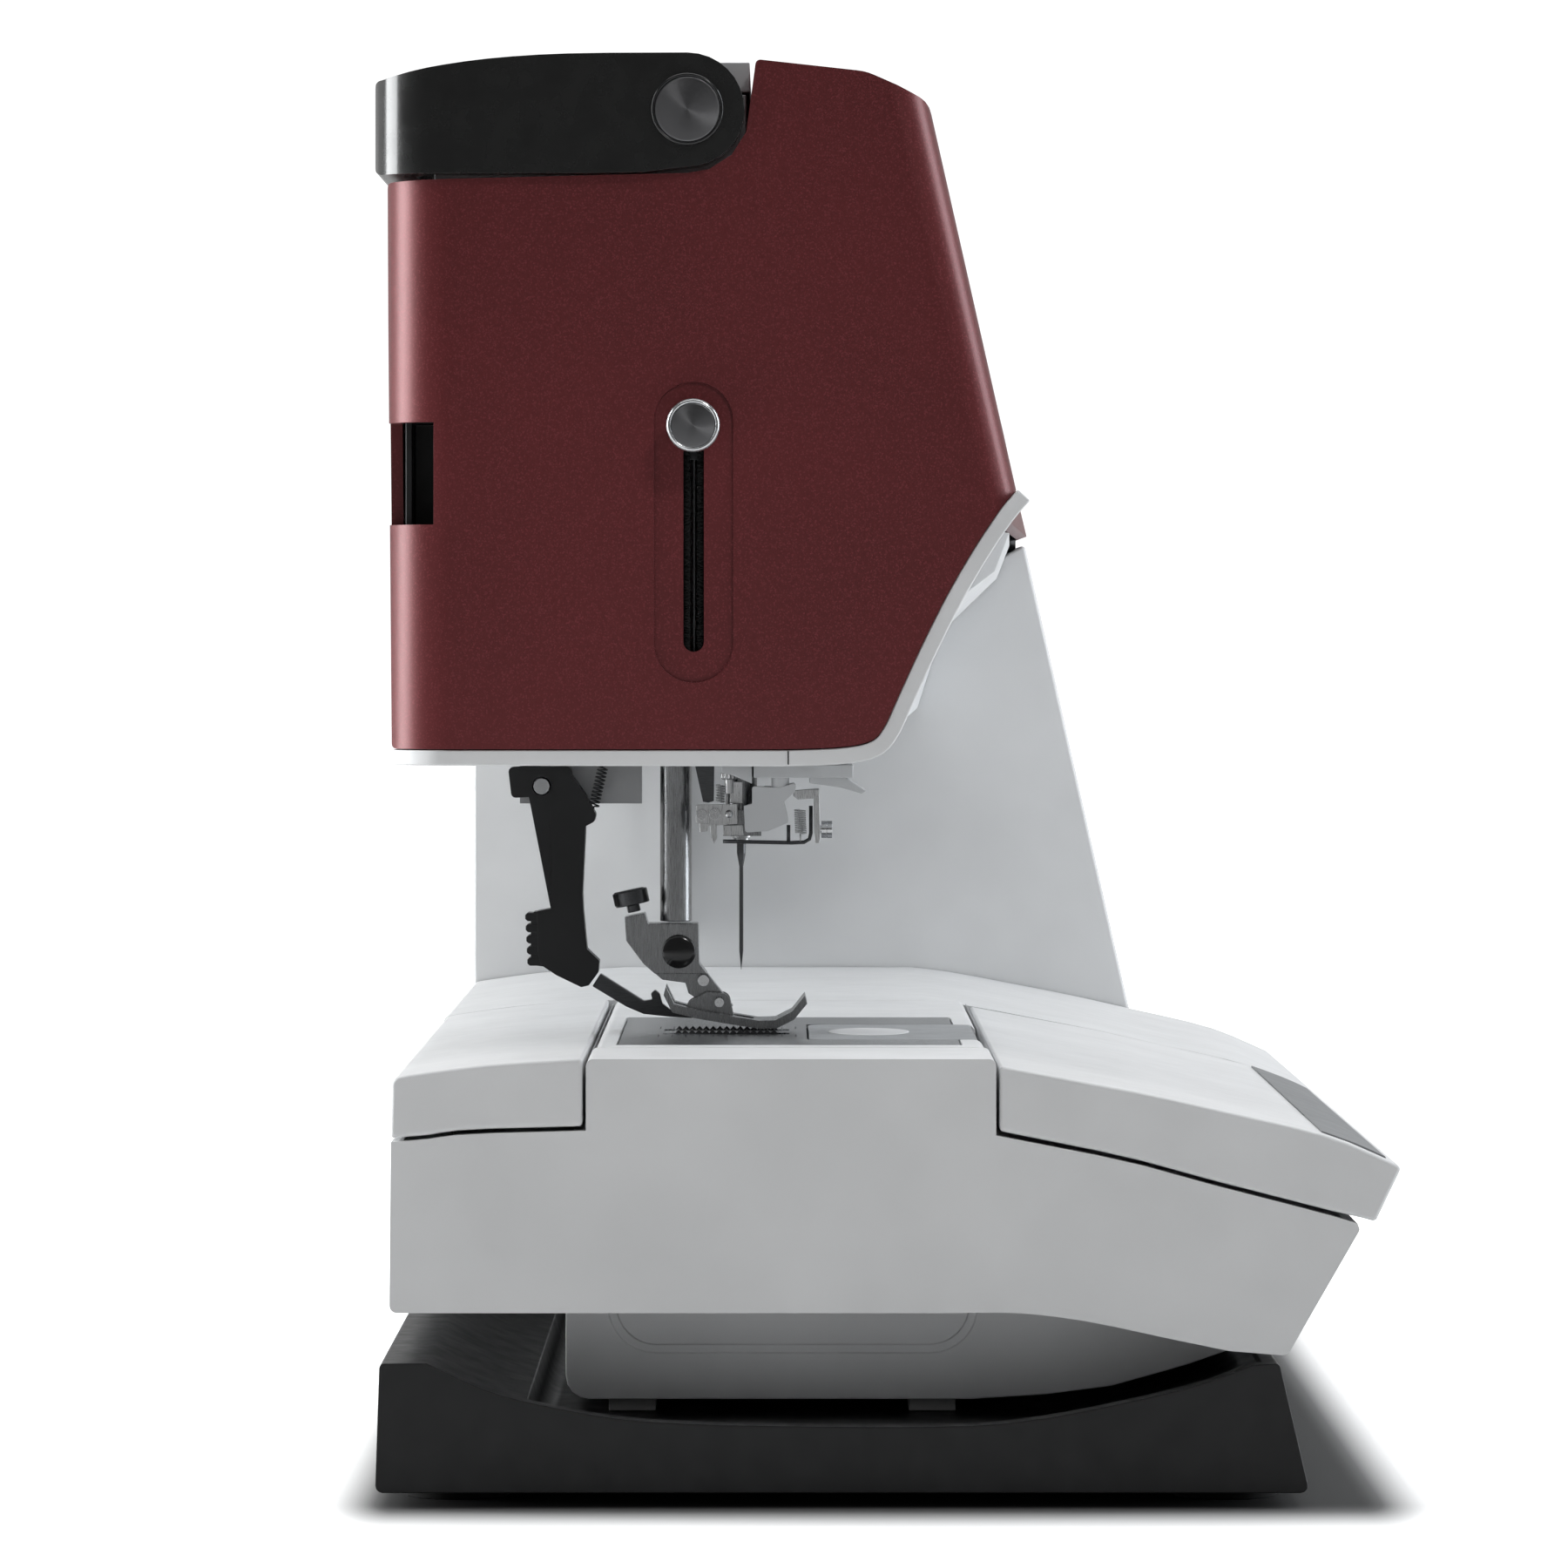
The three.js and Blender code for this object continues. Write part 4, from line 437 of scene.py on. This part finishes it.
class Build:
    """Gathers closed shapes, in millimetres, into one piece."""

    def __init__(self):
        self.bm = bmesh.new()

    def add(self, rings, close_ends=True):
        """Skins a row of rings that have equal numbers of points, and caps the two ends."""
        rows = [[self.bm.verts.new(p) for p in ring] for ring in rings]
        count = len(rows[0])
        for a, b in zip(rows, rows[1:]):
            for i in range(count):
                self.bm.faces.new((a[i], a[(i + 1) % count], b[(i + 1) % count], b[i]))
        if close_ends:
            self.bm.faces.new(rows[0][::-1])
            self.bm.faces.new(rows[-1])
        return self

    def prism(self, points, x0, x1):
        """Extrudes an outline of (y, z) points along X."""
        return self.add([[(x, y, z) for y, z in points] for x in (x0, x1)])

    def box(self, x0, x1, y0, y1, z0, z1):
        return self.prism([(y0, z0), (y1, z0), (y1, z1), (y0, z1)], x0, x1)

    def turned(self, place, axis, profile, sides=40, wave=0):
        """Turns a profile of (radius, distance along the axis) about the axis, with flutes wave deep."""
        turn = Vector(axis).to_track_quat("Z", "Y").to_matrix()
        rings = []
        for radius, along in profile:
            ring = []
            for i in range(sides):
                a = math.tau * i / sides
                r = radius - wave * (i % 2)
                ring.append(Vector(place) + turn @ Vector((r * math.cos(a), r * math.sin(a), along)))
            rings.append(ring)
        return self.add(rings)

    def band(self, place, axis, section, sides=64):
        """Turns a closed section of (radius, distance along the axis) about the axis into a ring."""
        turn = Vector(axis).to_track_quat("Z", "Y").to_matrix()
        rows = [
            [Vector(place) + turn @ Vector((r * math.cos(a), r * math.sin(a), along)) for r, along in section]
            for a in [math.tau * k / sides for k in range(sides + 1)]
        ]
        self.add(rows, close_ends=False)
        bmesh.ops.remove_doubles(self.bm, verts=self.bm.verts[:], dist=1e-4)
        return self

    def wire(self, points, radius, sides=8):
        """A round wire through the points."""
        points = [Vector(p) for p in points]
        rings = []
        side = None
        for i, p in enumerate(points):
            along = (points[min(i + 1, len(points) - 1)] - points[max(i - 1, 0)]).normalized()
            side = (side or along.orthogonal())
            side = (side - along * side.dot(along)).normalized()
            other = along.cross(side)
            rings.append([
                p + radius * (side * math.cos(math.tau * k / sides) + other * math.sin(math.tau * k / sides))
                for k in range(sides)
            ])
        return self.add(rings)

    def spring(self, a, b, radius, wire, turns):
        """A coil spring from a to b, of wire of the given radius."""
        per_turn = 14
        a, b = Vector(a), Vector(b)
        turn = (b - a).to_track_quat("Z", "Y").to_matrix()
        count = int(turns * per_turn)
        line = []
        for i in range(count + 1):
            t = math.tau * i / per_turn
            out = turn @ Vector((radius * math.cos(t), radius * math.sin(t), 0))
            line.append(a + (b - a) * (i / count) + out)
        return self.wire(line, wire, 6)

    def done(self, name, body, slot, material, edge=0.12):
        """Makes the piece, with its edges rounded by edge, on its body; slot, a CAD node's name, is not used.
        """
        bmesh.ops.recalc_face_normals(self.bm, faces=self.bm.faces[:])
        bmesh.ops.scale(self.bm, vec=(MM, MM, MM), verts=self.bm.verts[:])
        mesh = bpy.data.meshes.new(name)
        self.bm.to_mesh(mesh)
        self.bm.free()
        for face in mesh.polygons:
            face.use_smooth = True
        mesh.materials.append(material)
        piece = bpy.data.objects.new(name, mesh)
        bpy.context.scene.collection.objects.link(piece)
        if edge:
            bevel = piece.modifiers.new("edge", "BEVEL")
            bevel.width = edge * MM
            bevel.segments = 2
            bevel.limit_method = "ANGLE"
            bevel.angle_limit = math.radians(30)
            bevel.harden_normals = True
        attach(piece, body)
        return piece


def dome(place, radius, thick, rise):
    """A domed disc that faces -X: place is the centre of its back."""
    crown = [(radius * math.cos(a), thick + rise * math.sin(a)) for a in (0, 0.3, 0.7, 1.1, 1.4, 1.55)]
    return Build().turned(place, LEFT, [(radius, 0)] + crown, 48)


def screw(build, place, axis, radius, thick):
    """A slotted screw head: a disc, and on it two half discs with the slot between them."""
    turn = Vector(axis).to_track_quat("Z", "Y").to_matrix()
    gap = radius * 0.16
    arc = [math.pi * k / 10 for k in range(11)]
    for sign in (-1, 1):
        half = [Vector((sign * max(gap, radius * math.sin(a)), radius * math.cos(a), 0)) for a in arc]
        heights = [Vector((0, 0, h)) for h in (thick * 0.5, thick)]
        build.add([[Vector(place) + turn @ (p + h) for p in half] for h in heights])
    build.turned(place, axis, [(radius, 0), (radius, thick * 0.5)], 24)


def handle_caps():
    """A turned disc in a black ring on each end of the handle's pivots."""
    for side, node in enumerate(("handle_pivot_left", "handle_pivot_right")):
        middle, out = end_middle(node, side), (2 * side - 1, 0, 0)
        face = Build().turned(middle, out, [(7.1, -0.2), (7.1, 0.12), (6.7, 0.2)], 64)
        face.done(f"handle_cap_face_{side + 1}", "handle", node, M["turned"], 0)
        section = [(7.75, -1.2), (7.75, 0.1), (7.45, 0.35), (7.15, 0.35), (7.1, 0.1), (7.1, -1.2)]
        ring = Build().band(middle, out, section)
        ring.done(f"handle_cap_ring_{side + 1}", "handle", node, M["gloss_black"], 0)


def threader_knob():
    """A turned face in a polished rim."""
    middle = end_middle("threader_knob", 0)
    face = Build().turned(middle, LEFT, [(4.75, -0.2), (4.75, 0.1), (4.5, 0.16)], 64)
    face.done("threader_knob_face", "threader_slide", "threader_knob", M["turned"], 0)
    section = [
        (5.72, -4.4), (5.72, -0.5), (5.5, 0.1), (5.25, 0.3),
        (4.9, 0.3), (4.76, 0.05), (4.76, -0.4), (5.2, -4.4),
    ]
    rim = Build().band(middle, LEFT, section)
    rim.done("threader_knob_rim", "threader_slide", "threader_knob", M["chrome"], 0)


def slot_bristles():
    """Two rows of hairs that close the slot the threader lever slides in."""
    spacing, margin, thickness = 0.16, 6.6, 0.14
    rng = random.Random(4)
    brush = Build()
    low, high = corner("slot_brush", 0), corner("slot_brush", 1)
    middle = (low.y + high.y) / 2
    face = corner("head_cover", 0).x
    for side in (-1, 1):
        z = low.z + margin
        while z < high.z - margin:
            x = face + rng.uniform(1.3, 2.4)
            root = (x, middle + side * 2.12, z)
            bend = -rng.uniform(-0.2, 0.4)
            reach = side * rng.uniform(0.66, 0.9)
            tip = (x + bend, middle + reach, z + rng.uniform(-0.9, 0.9))
            brush.wire([root, tip], thickness, 3)
            z += spacing
    brush.done("slot_bristles", BASE, "slot_brush", M["bristle"], 0)


def rim_seam():
    """The joint in the head's rim, under the needle."""
    face = corner("head_rim", 0).x
    seam = Build().box(face - 0.08, face + 0.3, 18.55, 18.85, 152.7, 155.6)
    seam.done("rim_seam", BASE, "head_rim", M["black"], 0)


def ankle():
    """The release button and the screws of the foot's ankle."""
    face = corner("presser_foot_holder", 0).x
    button = dome((face, 42.7, 110.9), 3.7, 0.5, 0.7)
    button.done("ankle_button", "presser", "presser_foot_holder", M["gloss_black"], 0)
    holder_screw = Build()
    screw(holder_screw, (face, 37.3, 104.5), LEFT, 1.25, 0.7)
    holder_screw.done("ankle_screw", "presser", "presser_foot_holder", M["chrome"], 0.05)
    pivot = Build()
    screw(pivot, (max(corner("presser_foot", 0).x, face - 2.2), 33.8, 99.8), LEFT, 1.05, 0.6)
    pivot.done("foot_pivot_screw", "foot", "presser_foot", M["chrome"], 0.05)


def thumb_screw():
    """The knurled head of the screw that holds the foot."""
    axis = Vector(next(j for j in frame["joints"] if j["child"] == "thumb_screw")["axis"]).normalized()
    start = Vector((NEEDLE.x, 53.5, 122.7)) - axis * 1.7
    head = Build().turned(start, axis, [(3.2, 0), (3.75, 0.4), (3.75, 2.9), (3.2, 3.3)], 44, wave=0.42)
    head.done("thumb_screw_knurl", "thumb_screw", "foot_thumb_screw", M["dark_steel"], 0)


def feed_arm():
    """The ribs on the back of the dual-feed arm, and the spring that pulls it."""
    ribs = Build()
    low, high = corner("dual_feed_arm", 0), corner("dual_feed_arm", 1)
    for i in range(5):
        y, z = 75.1 + 0.12 * i, 108.7 + 2.45 * i
        rib = [
            (y - 2.6, z - 0.95), (y + 0.4, z - 1), (y + 0.95, z - 0.5),
            (y + 0.95, z + 0.4), (y + 0.4, z + 0.85), (y - 2.6, z + 0.8),
        ]
        ribs.prism(rib, low.x + 0.1, high.x - 0.1)
    pad = [(71.5, 107.4), (74.6, 107.8), (75.3, 109), (75.3, 118.6), (74.6, 119.6), (71.5, 119.6)]
    ribs.prism(pad, low.x + 0.2, high.x - 0.2)
    ribs.done("feed_arm_ribs", "feed_arm", "dual_feed_arm", M["black"], 0.15)
    x, wire = low.x + 1.5, 0.19
    spring = Build().spring((x, 59.4, 151.6), (x, 61.4, 142.8), 1.05, wire, 11)
    spring.wire([(x, 61.4, 142.8), (x, 61.7, 141.6)], wire, 6)
    spring.done("feed_arm_spring", BASE, "cast_frame", M["dark_steel"], 0)


def needle_clamp():
    """The clamp's bracket, screws, spindle and spring, which ride with the needle."""
    x = NEEDLE.x
    front, back = x - 7.9, x - 6.9
    plate = Build()
    face = [(38.9, 139.2), (38.9, 143.2), (29.8, 143.4), (29.8, 139), (34, 138.7), (36.4, 138.6)]
    plate.prism(face, front, back)
    plate.prism([(35.8, 139), (34.4, 139), (34.2, 136), (34.9, 134.6), (35.6, 136)], front - 0.4, back + 0.1)
    plate.prism([(38.2, 139.2), (36, 139.2), (36.4, 137.4), (38, 137.2)], front - 0.2, back)
    plate.box(front + 0.5, x - 5, 29.9, 32.8, 139.4, 143)
    plate.box(x - 6, x + 3, 28.5, 33, 136.4, 138.7)
    collar = [(2.3, 0), (2.5, 0.2), (2.5, 0.6), (1.8, 0.7), (1.8, 1.1), (2.3, 1.2), (2.3, 1.7)]
    plate.turned((x, 29, 134.6), UP, collar, 32)
    plate.done("clamp_bracket", "needle_carrier", "needle_bar", M["bright_steel"], 0.1)
    heads = Build()
    screw(heads, (front, 37.6, 141.1), LEFT, 1.2, 0.7)
    screw(heads, (front, 34.7, 141.2), LEFT, 1.3, 0.9)
    heads.turned((front, 31.6, 141.2), LEFT, [(0.9, 0), (0.9, 0.4), (0.5, 0.7)], 20)
    heads.done("clamp_screws", "needle_carrier", "needle_bar", M["chrome"], 0.05)
    top = Build()
    axis_x, axis_y = x - 4.6, 31.5
    top.turned((axis_x, axis_y, 148.7), UP, [(1.7, 0), (2, 0.3), (2, 1.3), (1.7, 1.6)], 26, wave=0.25)
    top.turned((axis_x, axis_y, 145.6), UP, [(1.1, 0), (1.1, 3.2)], 16)
    top.spring((axis_x, 33.6, 143.7), (axis_x, 33.6, 147.6), 0.9, 0.16, 7)
    top.box(x - 5.3, x - 2, 28.7, 31.4, 143.5, 148.2)
    top.done("clamp_spindle", "needle_carrier", "needle_bar", M["bright_steel"], 0.08)


def threader_unit():
    """The needle threader's wire, link, spring and screw, and the fixed plates it hangs from."""
    x = NEEDLE.x
    wire = Build()
    path = [(32.6, 135.2), (28, 135.1), (18, 134.9), (15.2, 135), (14, 135.7), (13.7, 137), (13.7, 143)]
    wire.wire([(x - 8, y, z) for y, z in path], 0.42)
    wire.box(x - 8.5, x - 7.4, 30, 33, 134.8, 135.6)
    wire.box(x - 8.5, x - 7.6, 18.2, 19, 135, 138.8)
    wire.done("threader_wire", "threader", "needle_threader", M["dark_steel"], 0)
    link = Build()
    upright = [(13.1, 146.6), (11.9, 146.6), (11.6, 137), (11.8, 134.9), (12.8, 134.9), (13, 138)]
    link.prism(upright, x - 9.6, x - 5.6)
    top_bar = [(17.4, 146.4), (11.9, 146.8), (11.9, 144.9), (13.4, 144.6), (16.6, 144.4), (17.6, 145.2)]
    link.prism(top_bar, x - 9.2, x - 6)
    link.done("threader_link", "threader", "needle_threader", M["bright_steel"], 0.15)
    coil = Build().spring((x - 8.8, 15.9, 136.9), (x - 8.8, 16.1, 142.2), 1.15, 0.17, 11)
    coil.wire([(x - 8.8, 16, 136.9), (x - 8.8, 16, 135.2)], 0.17, 6)
    coil.done("threader_spring", "threader", "needle_threader", M["bright_steel"], 0)
    end = Build()
    screw(end, (x - 7.6, 11.4, 137.8), FRONT, 1.9, 2.4)
    end.turned((x - 7.6, 12.4, 137.8), FRONT, [(0.9, 0), (0.9, 1.2)], 16)
    end.done("threader_screw", "threader", "needle_threader", M["chrome"], 0.1)
    ceiling = 152
    plates = Build()
    rear = [(33.3, ceiling), (33.3, 150.2), (31, 149.8), (26.6, 147.9), (26.6, ceiling)]
    plates.prism(rear, x - 11, x + 2)
    plates.prism([(26.2, ceiling), (26.2, 149.2), (4.5, 149.2), (4.5, ceiling)], x - 12, x + 6)
    tongue = [(14, 149.3), (14, 148), (7.4, 147.1), (2.6, 145.7), (1.6, 146.3), (6.2, 149.3)]
    plates.prism(tongue, x - 10, x + 4)
    plates.done("threader_top_plates", BASE, "needle_threader", M["light"], 0.2)
    outline = [(39.2, ceiling), (34.9, ceiling), (35, 144), (36.2, 143.6), (37.4, 143.8)]
    flag = Build().prism(outline, x - 5, x - 4.2)
    flag.done("threader_flag", BASE, "needle_threader", M["dark_steel"], 0.1)


def column_painted_shadow():
    """A dark sheet filling the joint over the column: a painted shadow under the fascia's edge."""
    low, high = corner("column_cover", 0), corner("column_cover", 1)
    # black box where the column top lies in shade: painted shadow
    seam = Build().box(low.x + 3, high.x - 6, -41.5, -34, 202, 207)
    seam.done("column_painted_shadow", BASE, "front_fascia", M["black"], 0)


def lid_grip():
    """The grey strip let into the slope of the tray's front lid."""
    proud, sunk = 0.22, 0.6
    low, high = corner("tray_lid_front", 0), corner("tray_lid_front", 1)
    slope = [(-91.9, 77.5), (-95, 76.4), (-99, 74.9), (-102.5, 73.4), (-105.2, 72.1)]
    outline = [(y, z + proud) for y, z in slope] + [(y, z - sunk) for y, z in slope[::-1]]
    strip = Build().prism(outline, low.x + 6, high.x - 6)
    strip.done("lid_grip_strip", "tray_front_lid", "tray_lid_front", M["grip"], 0.15)


def plate_marks():
    """Four rows of seam guide lines, every fifth one longer."""
    z = corner("needle_plate", 1).z
    marks = Build()
    for offset in (-19, -14, 14, 19):
        x = NEEDLE.x + offset
        for i in range(11):
            y = NEEDLE.y - 12 + 3 * i
            length = 0.9 if i % 5 else 1.6
            marks.box(x - length, x + 0.9, y - 0.14, y + 0.14, z - 0.1, z + 0.04)
    marks.done("plate_marks", BASE, "needle_plate", M["engraved"], 0)


def bobbin_window_highlight():
    """A white oval on the bobbin cover, with an eased edge: the cover's window, its sheen painted in as a
    highlight.
    """
    half_length, half_width, middle_y = 15, 9, 1
    top = corner("bobbin_cover", 1).z
    turns = [math.tau * i / 48 for i in range(48)]
    oval = Build()
    oval.add([
        [
            (NEEDLE.x + half_length * k * math.cos(a), middle_y + half_width * k * math.sin(a), top + rise)
            for a in turns
        ]
        for k, rise in ((1, -0.1), (1, 0.05), (0.94, 0.1))
    ])
    # the white stands in for the window's sheen: a painted highlight
    oval.done("bobbin_window_highlight", "bobbin_lid", "bobbin_cover", M["white"], 0)


make_camera()
make_lights()
make_room()
make_floor()
finish_nodes()
handle_caps()
threader_knob()
slot_bristles()
rim_seam()
ankle()
thumb_screw()
feed_arm()
needle_clamp()
threader_unit()
column_painted_shadow()
lid_grip()
plate_marks()
bobbin_window_highlight()
bpy.context.scene.view_settings.view_transform = "Standard"
